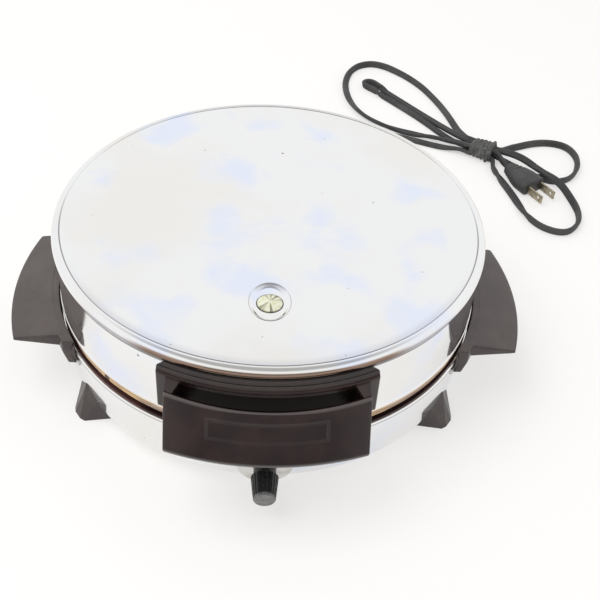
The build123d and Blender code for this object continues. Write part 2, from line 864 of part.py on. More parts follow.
# Floating hinge at the back
hinge_axis = Plane(origin=(0, hinge_y, hinge_z), x_dir=(0, 1, 0), z_dir=(1, 0, 0))
ear_out = ear_in + ear_t
clip_start = ear_out + part_gap
pin_half = clip_start + clip_plate_t + pin_end
stop_face = hinge_y - stop_y
stop_top = hinge_z - stop_below


def hinge_bracket():
    slot_r = pin_r + run_gap
    plate = block(-ear_out, ear_out, body_r - bracket_root, stop_face, bracket_low, stop_top)
    outline = block(-ear_out, ear_out, stop_face - ear_lap, hinge_y + ear_half_y, ear_low, hinge_z)
    top = hinge_axis * Cylinder(ear_r, 2 * ear_out)
    top &= block(-ear_out, ear_out, hinge_y - ear_half_y, hinge_y + ear_half_y, hinge_z, crown_z)
    ears = outline + top
    ears -= block(-ear_in, ear_in, stop_face, hinge_y + ear_r + past, 0, crown_z)
    bracket = plate + ears
    slot = Pos(0, float_travel / 2, 0) * Rot(0, 0, 90) * SlotCenterToCenter(float_travel, 2 * slot_r)
    bracket -= extrude(hinge_axis * slot, ear_out + past, both=True)
    bracket -= seat_base
    bracket -= drum(body_r + seat_gap, rim_z - part_gap, crown_z)
    for angle in bracket_angles:
        bracket -= rod(wall_plane(bracket_screw_z, angle), thread_r, -past, bracket_screw_len)
    return bracket


def hinge_bracket_screws():
    planes = [wall_plane(bracket_screw_z, a) for a in bracket_angles]
    return group([base_screw(p, bracket_screw_len, wall_seat) for p in planes])


def hinge_pin():
    return hinge_axis * Cylinder(pin_r, 2 * pin_half)


def pin_clips():
    clips = []
    for side in (1, -1):
        ring_part = Cylinder(clip_plate_r, clip_plate_t) - Cylinder(pin_r + thread_gap, 2 * clip_plate_t)
        middle = side * (clip_start + clip_plate_t / 2)
        clips.append(hinge_axis * Pos(0, 0, middle) * ring_part)
    return group(clips)


def hinge_arm():
    arm_r = skirt_r + seat_gap
    low = skirt_z + hem_h + arm_above_hem
    sweep_angle = 2 * math.degrees(math.asin(arm_half / arm_r)) + 2 * past
    plate = spin([(arm_r, low), (arm_r + arm_plate_t, low), (arm_r + arm_plate_t, arm_top), (arm_r, arm_top)],
                 90 - sweep_angle / 2, sweep_angle)
    plate &= block(-arm_half, arm_half, 0, body_r + 2 * past, 0, crown_z)
    side = math.radians(web_lean)
    ny = knuckle_r * math.cos(side)
    nz = knuckle_r * math.sin(side)
    root_r = skirt_r - web_root
    web = [(root_r, low + web_foot), (root_r, low + web_h), (arm_r + arm_plate_t, low + web_h),
           (hinge_y + ny, hinge_z + nz), (hinge_y - ny, hinge_z - nz)]
    face = make_face(Polyline([(-arm_half, y, z) for y, z in web], close=True))
    arm = extrude(face, 2 * arm_half, dir=(1, 0, 0))
    arm -= drum(arm_r, 0, crown_z)
    arm -= drum(skirt_r + hem_out + part_gap, 0, skirt_z + hem_h + part_gap)
    arm += plate
    arm += hinge_axis * Cylinder(knuckle_r, 2 * arm_half)
    heel = block(-arm_half, arm_half, knuckle_r - heel_root, heel_r, -heel_w / 2, heel_w / 2)
    arm += Pos(0, hinge_y, hinge_z) * Rot(heel_angle, 0, 0) * heel
    arm -= hinge_axis * Cylinder(pin_r + run_gap, 2 * (arm_half + past))
    for angle in arm_screw_angles:
        arm -= rod(skirt_plane(arm_screw_z, angle), thread_r, -past, arm_screw_len)
    return arm


# Electrical pieces in the base
def terminal_block():
    half_x, half_y = terminal_len / 2, terminal_wide / 2
    body = block(-half_x, half_x, -half_y, half_y, plate_top, plate_top + terminal_h)
    hole = drum(terminal_hole_r, plate_top + terminal_hole_low, plate_top + terminal_h + past)
    for i in (-1, 0, 1):
        body -= Pos(terminal_pitch * i, 0, 0) * hole
    return Pos(terminal_x, terminal_y, 0) * body


def strain_relief():
    flange = rod(outlet_plane, outlet_r, -outlet_in, outlet_flange_t) - seat_base
    sleeve_len = outlet_out - outlet_flange_t
    sleeve = Pos(0, 0, outlet_flange_t + sleeve_len / 2) * Cone(outlet_neck_r, outlet_tip_r, sleeve_len)
    stem = rod(outlet_plane, outlet_stem_r, -sheet - outlet_in, outlet_flange_t)
    collar = rod(outlet_plane, outlet_r, -sheet - outlet_in, -sheet - outlet_grip)
    return flange + outlet_plane * sleeve + stem + collar


# Cord, in the frame of the finished object: origin on the floor under the middle of its outline
cord_r = 2.5
run_share = 0.45        # share of the shorter run that a rounded corner takes
lead_route = [
    (48.07, 144.4, 16.56), (53.1, 159.0, 14.84), (56.5, 188, 2.6), (56, 213, 2.6), (67, 238, 2.6),
    (91, 246, 2.6), (116, 237, 2.6), (145, 225.1, 2.6), (157.72, 221.28, 4.1), (168.31, 215.63, 4.1),
]
hank_route = [
    (168.31, 215.63, 4.1), (183.3, 207.62, 4.1), (180.1, 196.4, 2.7), (186, 180.8, 2.6),
    (192.7, 156.2, 2.6), (196.8, 133.1, 2.6), (207.4, 118.9, 2.6), (222.9, 114, 2.6),
    (234.4, 124.9, 2.6), (238.6, 139.1, 2.6), (236.5, 155.5, 3.6), (229.2, 172.5, 8.6),
    (217.3, 188.5, 8.6), (203.8, 205.7, 9.1), (187.3, 215, 9.1), (167, 225.9, 9.1),
    (153.9, 243.9, 5.6), (134.9, 272, 2.6), (115.8, 295.6, 2.6), (100.8, 314.2, 2.6),
    (91.1, 327.8, 2.6), (81.5, 321.6, 2.6), (98, 306.9, 2.6), (113.4, 288.9, 2.6),
    (132.5, 265.4, 2.6), (150.6, 237.6, 2.6), (168.3, 222, 4.1), (185.9, 212.6, 4.1),
    (197.8, 202.8, 3), (211.3, 190, 2.6), (224.1, 180, 2.6), (237.9, 182.5, 2.6),
    (246.7, 191.5, 2.6), (252.4, 204.3, 2.6), (254.1, 218.1, 2.6), (248.9, 231.7, 2.6),
    (236.2, 236.7, 2.6), (219.4, 234.9, 2.6), (201.5, 226.9, 2.6), (189, 217.3, 4.1),
    (170.9, 226.9, 4.1), (160.9, 246.3, 2.6), (157, 266.6, 2.6), (151.7, 286.4, 2.6),
    (145, 304.7, 2.6), (136.3, 323.3, 2.6), (123.8, 340.4, 2.6), (109.9, 352.6, 2.6),
    (95.5, 359.5, 2.6), (82.4, 355.1, 2.6), (73.6, 344, 2.6), (68.7, 329.6, 2.6),
    (67.4, 314.4, 2.6), (69.2, 297.6, 2.6), (74.4, 280.6, 2.6), (83.4, 266.8, 2.6),
    (94.8, 256.3, 2.6), (108.1, 249.4, 2.6), (122.4, 244.2, 2.6), (136.8, 239.4, 2.6),
    (150.2, 230.5, 6.4), (164.3, 220.9, 9.1), (185.9, 209.4, 9.1), (188.7, 200.4, 6.1),
    (192.8, 193.6, 6.1),
]
plug_len = 30.0
plug_half_back = 5.0
plug_half_front = 10.5
plug_t = 12.0
blade_pitch = 12.7
blade_t = 1.5
blade_h = 6.3
blade_out = 16.0
blade_in = 5.0
tie_centre = (178.0, 216.8)
tie_turn = -28.1
tie_len = 10.0
tie_in = (17.4, 11.4)   # inner width and height
tie_wall = 1.1
tie_z = 6.75
tie_round = 3.0
tie_in_round = 1.2
plug_edge = 1.4
plug_swell = [          # share of the plug's length, half width there
    (0, plug_half_back), (0.3, 7.8), (0.6, plug_half_front), (1, plug_half_front),
]
blade_hole_r = 1.6
blade_hole_in = 4.0


def corner_radii(route):
    points = [Vector(*p) for p in route]
    radii = []
    for before, corner, after in zip(points, points[1:], points[2:]):
        half_turn = math.radians((corner - before).get_angle(after - corner)) / 2
        shorter = min((corner - before).length, (after - corner).length)
        radii.append(run_share * shorter / math.tan(half_turn))
    return radii


def tube_path(route):
    return FilletPolyline(*route, radius=corner_radii(route))


def tube(path):
    return sweep(Plane(origin=path @ 0, z_dir=path % 0) * Circle(cord_r), path)


def least_gap(path, step=1.5):
    """The least space between two stretches of one tube, over five diameters apart along it."""
    count = int(path.length / step)
    spots = [tuple(path @ (i / count)) for i in range(count + 1)]
    skip = int(10 * cord_r / step)
    least = path.length
    for i, a in enumerate(spots):
        for b in spots[i + skip:]:
            least = min(least, math.dist(a, b))
    return least - 2 * cord_r


def plug_frame():
    start = Vector(*hank_route[-1])
    run = start - Vector(*hank_route[-2])
    return Plane(origin=start, x_dir=run, z_dir=(0, 0, 1))


def plug_blades():
    blades = []
    for side in (1, -1):
        y = side * blade_pitch / 2
        blade = block(plug_len - blade_in, plug_len + blade_out, y - blade_t / 2, y + blade_t / 2,
                      -blade_h / 2, blade_h / 2)
        hole = Rot(90, 0, 0) * Cylinder(blade_hole_r, 3 * blade_t)
        blade -= Pos(plug_len + blade_out - blade_hole_in, y, 0) * hole
        blades.append(plug_frame() * blade)
    return group(blades)


def plug_body():
    outline = []
    for side in (1, -1):
        outline += [(plug_len * x, side * y) for x, y in plug_swell[::side]]
    body = extrude(make_face(Polyline([(x, y, 0) for x, y in outline], close=True)), plug_t)
    body = Pos(0, 0, -plug_t / 2) * body
    level = body.faces().filter_by(Axis.Z)
    body = chamfer(level.edges(), plug_edge)
    for side in (1, -1):
        y = side * blade_pitch / 2
        wide = blade_t / 2 + thread_gap
        tall = blade_h / 2 + thread_gap
        body -= block(plug_len - blade_in, plug_len + past, y - wide, y + wide, -tall, tall)
    return plug_frame() * body


def cord_tie():
    wide, tall = tie_in
    band = Rectangle(wide + 2 * tie_wall, tall + 2 * tie_wall)
    band = fillet(band.vertices(), tie_round) - fillet(Rectangle(wide, tall).vertices(), tie_in_round)
    turned = Plane(origin=(*tie_centre, tie_z), x_dir=(0, 1, 0), z_dir=(1, 0, 0))
    solid = extrude(turned * band, tie_len / 2, both=True)
    middle = Pos(*tie_centre, 0)
    return middle * Rot(0, 0, tie_turn) * middle.inverse() * solid


cord_paths = {"cord_lead": tube_path(lead_route), "cord_hank": tube_path(hank_route)}
cord_pieces = {name: tube(path) for name, path in cord_paths.items()}
for name, path in cord_paths.items():
    section_volume = math.pi * cord_r ** 2 * path.length
    share = cord_pieces[name].volume / section_volume
    route = lead_route if name == "cord_lead" else hank_route
    print(name, "length", round(path.length, 1), "volume share", round(share, 4))
    print("  corner radii", [round(r, 1) for r in corner_radii(route)])
    print("  least gap to itself", round(least_gap(path), 2))
cord_pieces["plug_body"] = plug_body()
cord_pieces["plug_blades"] = plug_blades()
cord_pieces["cord_tie"] = cord_tie()


nodes = {
    "base_shell": base_shell(),
    "drip_ring": drip_ring(),
    "bottom_plate": bottom_plate(),
    "bottom_plate_screws": bottom_plate_screws(),
    "lower_grid": lower(waffle_grid()),
    "lower_grid_rim": lower(grid_rim()),
    "lower_grid_screws": lower(grid_screws()),
    "lower_coil": lower(heating_coil()),
    "lower_insulators": lower(insulators()),
    "lower_reflector": lower(reflector_pan()),
    "side_handle_left": mirror(side_handle(), about=Plane.YZ),
    "side_handle_right": side_handle(),
    "side_handle_screws": side_handle_screws(),
    "foot_front_left": foot(180 + foot_angle),
    "foot_front_right": foot(360 - foot_angle),
    "foot_rear_left": foot(180 - foot_angle),
    "foot_rear_right": foot(foot_angle),
    "foot_screws": foot_screws(),
    "rim_rivets": rim_rivets(),
    "thermostat_body": thermostat_body(),
    "dial_plate": dial_plate(),
    "bushing_nut": bushing_nut(),
    "thermostat_shaft": thermostat_shaft(),
    "knob": knob(),
    "terminal_block": terminal_block(),
    "hinge_bracket": hinge_bracket(),
    "hinge_bracket_screws": hinge_bracket_screws(),
    "hinge_pin": hinge_pin(),
    "pin_clips": pin_clips(),
    "hinge_arm": hinge_arm(),
    "hinge_arm_screws": skirt_screws(arm_screw_z, arm_screw_angles, arm_screw_len),
    "lid_shell": lid_shell(),
    "lid_trim_ring": lid_trim_ring(),
    "lid_handle": lid_handle(),
    "lid_handle_screws": skirt_screws(handle_screw_z, handle_screw_angles, handle_screw_len),
    "signal_lens": signal_lens(),
    "lens_clip": lens_clip(),
    "pilot_lamp": pilot_lamp(),
    "lamp_bracket": lamp_bracket(),
    "upper_grid": upper(waffle_grid()),
    "upper_grid_rim": upper(grid_rim()),
    "upper_grid_screws": upper(grid_screws()),
    "upper_coil": upper(heating_coil()),
    "upper_insulators": upper(insulators()),
    "upper_reflector": upper(reflector_pan()),
    "strain_relief": strain_relief(),
}

# The origin is under the middle of the object's outline, so the body's axis stands a little off it
front = min(piece.bounding_box().min.Y for piece in nodes.values())
back = max(piece.bounding_box().max.Y for piece in nodes.values())
axis_y = -(front + back) / 2
print("body axis at y", round(axis_y, 3))

for name, piece in nodes.items():
    export_step(Pos(0, axis_y, 0) * piece, "parts/" + name + ".step")
for name, piece in cord_pieces.items():
    export_step(piece, "parts/" + name + ".step")
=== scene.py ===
import bmesh
import bpy
import numpy as np
from mathutils import Matrix


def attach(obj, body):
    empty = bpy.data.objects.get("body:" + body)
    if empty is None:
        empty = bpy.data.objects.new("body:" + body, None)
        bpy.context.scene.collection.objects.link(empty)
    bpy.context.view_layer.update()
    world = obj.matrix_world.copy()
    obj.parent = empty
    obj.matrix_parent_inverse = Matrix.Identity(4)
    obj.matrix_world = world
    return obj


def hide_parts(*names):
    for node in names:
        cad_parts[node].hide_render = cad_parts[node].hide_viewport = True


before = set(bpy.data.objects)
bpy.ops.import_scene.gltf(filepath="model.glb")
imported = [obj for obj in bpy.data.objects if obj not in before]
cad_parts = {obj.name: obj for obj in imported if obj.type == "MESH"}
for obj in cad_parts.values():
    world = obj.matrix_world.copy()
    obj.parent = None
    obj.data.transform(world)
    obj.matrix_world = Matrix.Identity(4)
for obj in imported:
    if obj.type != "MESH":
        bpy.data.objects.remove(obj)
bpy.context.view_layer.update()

# The camera stands in front of the iron and looks down on it at 42 degrees, a little from its left and
# slightly rolled, as the photograph was taken. Its focal length is 975 pixels of a 600 pixel frame.
azimuth, elevation, roll = np.radians([-3.66, 42.4, 4.1])
frame_pixels, sensor_width = 600.0, 36.0
focal, distance = 975.0, 0.5776
bead_point = np.array([0.0, 0.0048, 0.0914])
bead_pixel = np.array([270.6, 220.5])
back = np.array([np.sin(azimuth) * np.cos(elevation), -np.cos(azimuth) * np.cos(elevation),
                 np.sin(elevation)])
level = np.cross(-back, [0, 0, 1])
level /= np.linalg.norm(level)
upright = np.cross(level, -back)
right = level * np.cos(roll) + upright * np.sin(roll)
up = upright * np.cos(roll) - level * np.sin(roll)
offset = (bead_pixel - frame_pixels / 2) / focal * distance
eye = bead_point + back * distance - right * offset[0] + up * offset[1]
camera = bpy.data.objects.new("camera", bpy.data.cameras.new("camera"))
bpy.context.scene.collection.objects.link(camera)
camera.data.lens = focal * sensor_width / frame_pixels


def placed_at(turn, place):
    """The matrix of a turn, given by its three columns, and a place."""
    return Matrix([[*row, at] for row, at in zip(turn, place)] + [[0, 0, 0, 1]])


camera.matrix_world = placed_at(np.stack([right, up, back], 1), eye)
bpy.context.scene.camera = camera

# The cord is a flat twin lead of dark grey rubber, about 6 mm wide. It leaves the back of the base on the
# right, runs along the table and is folded into a loose hank, which a wound strap holds together.
CORD_POINTS = np.array([
    (48.07, 144.4, 16.56), (53.1, 159.0, 14.84), (56.5, 188, 2.6), (56, 213, 2.6), (67, 238, 2.6),
    (91, 246, 2.6), (116, 237, 2.6), (145, 225.1, 2.6), (157.72, 221.28, 4.1), (168.31, 215.63, 4.1),
    (183.3, 207.62, 4.1), (180.1, 196.4, 2.7), (186, 180.8, 2.6),
    (192.7, 156.2, 2.6), (196.8, 133.1, 2.6), (207.4, 118.9, 2.6), (222.9, 114, 2.6),
    (234.4, 124.9, 2.6), (238.6, 139.1, 2.6), (236.5, 155.5, 3.6), (229.2, 172.5, 8.6),
    (217.3, 188.5, 8.6), (203.8, 205.7, 9.1), (187.3, 215, 9.1), (167, 225.9, 9.1),
    (153.9, 243.9, 5.6), (134.9, 272, 2.6), (115.8, 295.6, 2.6), (100.8, 314.2, 2.6),
    (91.1, 327.8, 2.6), (81.5, 321.6, 2.6), (98, 306.9, 2.6), (113.4, 288.9, 2.6),
    (132.5, 265.4, 2.6), (150.6, 237.6, 2.6), (168.3, 222, 4.1), (185.9, 212.6, 4.1),
    (197.8, 202.8, 3), (211.3, 190, 2.6), (224.1, 180, 2.6), (237.9, 182.5, 2.6),
    (246.7, 191.5, 2.6), (252.4, 204.3, 2.6), (254.1, 218.1, 2.6), (248.9, 231.7, 2.6),
    (236.2, 236.7, 2.6), (219.4, 234.9, 2.6), (201.5, 226.9, 2.6), (189, 217.3, 4.1),
    (170.9, 226.9, 4.1), (160.9, 246.3, 2.6), (157, 266.6, 2.6), (151.7, 286.4, 2.6),
    (145, 304.7, 2.6), (136.3, 323.3, 2.6), (123.8, 340.4, 2.6), (109.9, 352.6, 2.6),
    (95.5, 359.5, 2.6), (82.4, 355.1, 2.6), (73.6, 344, 2.6), (68.7, 329.6, 2.6),
    (67.4, 314.4, 2.6), (69.2, 297.6, 2.6), (74.4, 280.6, 2.6), (83.4, 266.8, 2.6),
    (94.8, 256.3, 2.6), (108.1, 249.4, 2.6), (122.4, 244.2, 2.6), (136.8, 239.4, 2.6),
    (150.2, 230.5, 6.4), (164.3, 220.9, 9.1), (185.9, 209.4, 9.1), (188.7, 200.4, 6.1),
    (192.8, 193.6, 6.1),
]) / 1000.0
CORD_WIDTH, CORD_THICK = 5.8, 3.5
AXIS_Y = 4.8


def skin(name, grids, body, sharp=None, shift=AXIS_Y):
    """One mesh from grids of points in mm, rows by columns. Each grid is a closed form, whose rows join
    round, whose columns join round where its third value says so, and whose collapsed ends are merged.
    Where the signed volume, the sum of p0 . (p1 x p2) over the faces, is negative, the faces turn over."""
    points, faces, first = [], [], 0
    for grid, round_columns in grids:
        rows, columns = grid.shape[:2]
        strips = columns if round_columns else columns - 1
        i, j = np.meshgrid(np.arange(rows), np.arange(strips), indexing="ij")
        i2, j2 = (i + 1) % rows, (j + 1) % columns
        quad = np.stack([i * columns + j, i2 * columns + j, i2 * columns + j2, i * columns + j2], -1)
        quad = quad.reshape(-1, 4)
        flat = grid.reshape(-1, 3)
        a, b, c, d = (flat[quad[:, k]] - flat.mean(0) for k in range(4))
        volume = np.sum(a * np.cross(b, c)) + np.sum(a * np.cross(c, d))
        faces.append((quad if volume > 0 else quad[:, ::-1]) + first)
        points.append(flat)
        first += len(flat)
    mesh = bpy.data.meshes.new(name)
    placed = (np.concatenate(points) + np.array([0, shift, 0])) / 1000.0
    mesh.from_pydata(placed.tolist(), [], np.concatenate(faces).tolist())
    cleaned = bmesh.new()
    cleaned.from_mesh(mesh)
    bmesh.ops.remove_doubles(cleaned, verts=cleaned.verts, dist=2e-6)
    cleaned.to_mesh(mesh)
    cleaned.free()
    mesh.polygons.foreach_set("use_smooth", np.ones(len(mesh.polygons), bool))
    if sharp:
        mesh.set_sharp_from_angle(angle=np.radians(sharp))
    piece = bpy.data.objects.new(name, mesh)
    bpy.context.scene.collection.objects.link(piece)
    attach(piece, body)
    return piece


def add(tree, kind, inputs=None, **settings):
    """A shader node with its settings, whose inputs are values or other nodes' outputs."""
    made = tree.nodes.new(kind)
    for key, value in settings.items():
        setattr(made, key, value)
    for key, value in (inputs or {}).items():
        if isinstance(value, bpy.types.NodeSocket):
            tree.links.new(value, made.inputs[key])
        else:
            made.inputs[key].default_value = value
    return made


def tint(tree, share, first, second):
    """A colour that goes from the first to the second by a share."""
    return add(tree, "ShaderNodeMix", {0: share, 6: first, 7: second}, data_type="RGBA").outputs[2]


def vector(tree, operation, first, *second):
    """A vector node's result: a vector, or a length's one value."""
    made = add(tree, "ShaderNodeVectorMath", dict(enumerate((first, *second))), operation=operation)
    return made.outputs["Value" if operation == "LENGTH" else "Vector"]


def maths(tree, operation, first, second, **settings):
    """A maths node's result."""
    return add(tree, "ShaderNodeMath", {0: first, 1: second}, operation=operation, **settings).outputs[0]


def fade(tree, value, start, end, low=0.0, high=1.0):
    """A value that goes smoothly from low to high while the given one goes from start to end."""
    return add(tree, "ShaderNodeMapRange", {0: value, 1: start, 2: end, 3: low, 4: high},
               interpolation_type="SMOOTHSTEP").outputs[0]


def band(tree, value, low, low_end, high_end, high):
    """A mask that is one from low_end to high_end and falls smoothly to zero at low and at high."""
    return maths(tree, "MULTIPLY", fade(tree, value, low, low_end), fade(tree, value, high, high_end))


def times(tree, *masks):
    made = masks[0]
    for mask in masks[1:]:
        made = maths(tree, "MULTIPLY", made, mask)
    return made


def finish_of(name, slot, **values):
    """A material with its Principled shader, object coordinates and constant values."""
    material = bpy.data.materials.new(name)
    material.use_nodes = True
    tree = material.node_tree
    shader = next(n for n in tree.nodes if n.type == "BSDF_PRINCIPLED")
    for key, value in values.items():
        shader.inputs[key.replace("_", " ")].default_value = value
    material["slot"] = slot
    place = add(tree, "ShaderNodeTexCoord").outputs["Object"]
    return material, tree, shader, place


def new_group(name, inputs, outputs):
    tree = bpy.data.node_groups.new(name, "ShaderNodeTree")
    for label, kind, value in inputs:
        socket = tree.interface.new_socket(label, in_out="INPUT", socket_type=kind)
        if value is not None:
            socket.default_value = value
    for label, kind in outputs:
        tree.interface.new_socket(label, in_out="OUTPUT", socket_type=kind)
    return tree, tree.nodes.new("NodeGroupInput").outputs, tree.nodes.new("NodeGroupOutput").inputs


# Soft clouds, as in handled metal, heat stains and moulded plastic
CLOUDS, given, out = new_group("clouds", [
    ("Vector", "NodeSocketVector", None), ("Scale", "NodeSocketFloat", 20.0),
    ("Detail", "NodeSocketFloat", 3.0), ("Low", "NodeSocketFloat", 0.4),
    ("High", "NodeSocketFloat", 0.65)], [("Mask", "NodeSocketFloat")])
noise = add(CLOUDS, "ShaderNodeTexNoise", {key: given[key] for key in ("Vector", "Scale", "Detail")})
CLOUDS.links.new(fade(CLOUDS, noise.outputs["Fac"], given["Low"], given["High"]), out["Mask"])

# Scattered small specks, as pits, crumbs and dust are
SPECKS, given, out = new_group("specks", [
    ("Vector", "NodeSocketVector", None), ("Scale", "NodeSocketFloat", 60.0),
    ("Size", "NodeSocketFloat", 0.1), ("Share", "NodeSocketFloat", 0.2)], [("Mask", "NodeSocketFloat")])
cells = add(SPECKS, "ShaderNodeTexVoronoi", {"Vector": given["Vector"], "Scale": given["Scale"]})
chance = add(SPECKS, "ShaderNodeSeparateColor", {0: cells.outputs["Color"]})
chosen = maths(SPECKS, "GREATER_THAN", given["Share"], chance.outputs[0])
size = maths(SPECKS, "MULTIPLY", given["Size"], chance.outputs[1])
dot = maths(SPECKS, "SUBTRACT", size, cells.outputs["Distance"])
dot = maths(SPECKS, "MULTIPLY", dot, 40.0, use_clamp=True)
SPECKS.links.new(maths(SPECKS, "MULTIPLY", dot, chosen), out["Mask"])


def effect(tree, group, **values):
    """The first output of a group with its inputs set."""
    made = tree.nodes.new("ShaderNodeGroup")
    made.node_tree = group
    for key, value in values.items():
        if isinstance(value, bpy.types.NodeSocket):
            tree.links.new(value, made.inputs[key])
        else:
            made.inputs[key].default_value = value
    return made.outputs[0]


def bumped(tree, shader, place, scale, strength, metres, detail=2.0):
    """Fine noise as a bump on a shader's normal."""
    noise = add(tree, "ShaderNodeTexNoise", {"Vector": place, "Scale": scale, "Detail": detail})
    bump = add(tree, "ShaderNodeBump",
               {"Height": noise.outputs["Fac"], "Strength": strength, "Distance": metres})
    tree.links.new(bump.outputs[0], shader.inputs["Normal"])


def roughened(tree, shader, mask, low, high):
    """A roughness that goes from low to high with a mask."""
    rough = add(tree, "ShaderNodeMapRange", {0: mask, 3: low, 4: high})
    tree.links.new(rough.outputs[0], shader.inputs["Roughness"])


def coloured(tree, shader, share, first, second):
    """A base colour that goes from the first to the second by a share."""
    tree.links.new(tint(tree, share, first, second), shader.inputs["Base Color"])


def cloudy(name, slot, scale, low, high, first, second, detail=4.0, **values):
    """A finish whose base colour goes from the first to the second in soft clouds."""
    material, tree, shader, place = finish_of(name, slot, **values)
    clouds = effect(tree, CLOUDS, Vector=place, Scale=scale, Detail=detail, Low=low, High=high)
    coloured(tree, shader, clouds, first, second)
    return material, tree, shader, place, clouds


def dress(piece, material):
    """Gives a new piece, or a CAD node by its name, its material."""
    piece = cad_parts[piece] if isinstance(piece, str) else piece
    if piece.material_slots:
        for holder in piece.material_slots:
            holder.material = material
    else:
        piece.data.materials.append(material)


rubber, tree, shader, place = finish_of("cord_rubber", "cord_rubber", Roughness=0.55)
worn = effect(tree, CLOUDS, Vector=place, Scale=45.0, Detail=4.0, Low=0.42, High=0.7)
colour = tint(tree, worn, (0.040, 0.040, 0.041, 1), (0.068, 0.067, 0.066, 1))
dusty = effect(tree, SPECKS, Vector=place, Scale=900.0, Size=0.3, Share=0.15)
coloured(tree, shader, dusty, colour, (0.16, 0.155, 0.15, 1))
bumped(tree, shader, place, 1800.0, 0.25, 0.0002)

route = bpy.data.curves.new("cord_route", "CURVE")
route.dimensions = "3D"
spline = route.splines.new("NURBS")
spline.points.add(len(CORD_POINTS) - 1)
spline.points.foreach_set("co", np.c_[CORD_POINTS, np.ones(len(CORD_POINTS))].ravel())
spline.order_u = 3
spline.use_endpoint_u = True
route.resolution_u = 12
holder = bpy.data.objects.new("cord_route", route)
bpy.context.scene.collection.objects.link(holder)
bpy.context.view_layer.update()
line_mesh = bpy.data.meshes.new_from_object(holder)
line = np.zeros(len(line_mesh.vertices) * 3)
line_mesh.vertices.foreach_get("co", line)
line = line.reshape(-1, 3) * 1000.0
bpy.data.objects.remove(holder)
bpy.data.meshes.remove(line_mesh)


def unit(vectors):
    """Vectors of length one in the same directions."""
    return vectors / np.maximum(np.linalg.norm(vectors, axis=-1, keepdims=True), 1e-9)


def lobed(wave, power):
    """A sine or cosine raised to a power with its sign kept, as a superellipse has it."""
    return np.sign(wave) * np.abs(wave) ** power


def twin_lead(line):
    """The flat lead along its line: a section of two lobes, x = half width * cos^0.8 and y = half
    thickness * sin^0.6 with a groove of Gaussian depth in its middle. The section turns on edge where
    the lead bends sideways, by its curvature smoothed along the length, and stands on its low side."""
    along = unit(np.gradient(line, axis=0))
    step = np.linalg.norm(np.gradient(line, axis=0), axis=1)
    bend = np.linalg.norm(np.gradient(along, axis=0), axis=1) / np.maximum(step, 1e-6)
    window = np.hanning(31)
    bend = np.convolve(np.pad(bend, 15, "edge"), window / window.sum(), "valid")
    on_edge = np.radians(78) * np.clip((bend - 0.006) / 0.02, 0, 1)
    side = unit(np.cross(along, [0, 0, 1.0]))
    top = np.cross(side, along)
    wide = side * np.cos(on_edge)[:, None] + top * np.sin(on_edge)[:, None]
    thin = top * np.cos(on_edge)[:, None] - side * np.sin(on_edge)[:, None]
    turn = np.linspace(0, 2 * np.pi, 28, endpoint=False)
    x = CORD_WIDTH / 2 * lobed(np.cos(turn), 0.8)
    y = CORD_THICK / 2 * lobed(np.sin(turn), 0.6)
    y = y * (1 - 0.34 * np.exp(-(x / 0.55) ** 2))
    grid = line[None] + x[:, None, None] * wide[None] + y[:, None, None] * thin[None]
    reach = line[:, 2] - grid[..., 2].min(0)
    lowered = line[:, 2] + reach - 2.5
    centre = line.copy()
    centre[:, 2] = lowered
    grid[..., 2] += (lowered - line[:, 2])[None]
    ends = [np.repeat(centre[k][None, None], len(turn), 0) for k in (0, -1)]
    return np.concatenate([ends[0], grid, ends[1]], axis=1), centre


lead_grid, lead_line = twin_lead(line)
cord = skin("cord", [(lead_grid, False)], "base", shift=0.0)
dress(cord, rubber)
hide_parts("cord_lead", "cord_hank")

# The strap is a strip of grey ribbed cloth wound tightly round the hank, with a twisted thin end wound
# once more round its right side. Its wraps make soft ridges.
TIE_CENTRE, TIE_TURN = np.array([176.2, 217.8, 6.4]), np.radians(-28.1)


def wound_strap():
    """A closed band: for distance u along the hank and turn t, the radius is a superellipse of
    half axes 9.6 by 6.0 mm, with ridges cos(u) slanted by t, drawn in at both ends."""
    u = np.linspace(-10.5, 8.5, 60)
    t = np.linspace(0, 2 * np.pi, 72, endpoint=False)
    tt, uu = np.meshgrid(t, u, indexing="ij")
    ridge = 0.38 * np.cos(2 * np.pi * (uu + 1.4 * np.sin(tt)) / 3.3) + 0.25 * np.sin(5 * tt + uu)
    end = np.clip(np.minimum(uu + 10.5, 8.5 - uu) / 1.4, 0, 1)
    swell = -1.2 + 1.2 * np.sqrt(1 - (1 - end) ** 2) + ridge * end
    narrow = 1.0 - 0.14 * np.clip((-uu - 2) / 9, 0, 1)
    y = lobed(np.cos(tt), 0.75) * (9.6 * narrow + swell)
    z = lobed(np.sin(tt), 0.75) * (6.0 * narrow + swell * 0.9)
    outer = np.stack([uu, y, z], -1)
    inner = outer[:, ::-1] * np.array([1, 0.86, 0.8])
    return np.concatenate([outer, inner], axis=1)


def twisted_end():
    """A rope of two strands wound round the strap: a closed ring in the same superellipse, whose
    section turns with the way round."""
    t = np.linspace(0, 2 * np.pi, 120, endpoint=False)
    s = np.linspace(0, 2 * np.pi, 12, endpoint=False)
    tt, ss = np.meshgrid(t, s, indexing="ij")
    radius = 1.15 + 0.35 * np.cos(2 * ss - 14 * tt)
    y = lobed(np.cos(tt), 0.8) * (10.0 + radius * np.cos(ss))
    z = lobed(np.sin(tt), 0.8) * (6.2 + radius * np.cos(ss))
    return np.stack([5.6 + 1.3 * np.sin(tt) + radius * np.sin(ss), y, z], -1)


def tie_placed(grid):
    """The grid turned about its upright axis to lie along the hank, and kept above the table."""
    x, y, z = np.moveaxis(grid, -1, 0)
    cosine, sine = np.cos(TIE_TURN), np.sin(TIE_TURN)
    placed = np.stack([x * cosine - y * sine, x * sine + y * cosine, z], -1) + TIE_CENTRE
    placed[..., 2] = np.maximum(placed[..., 2], 0.05)
    return placed


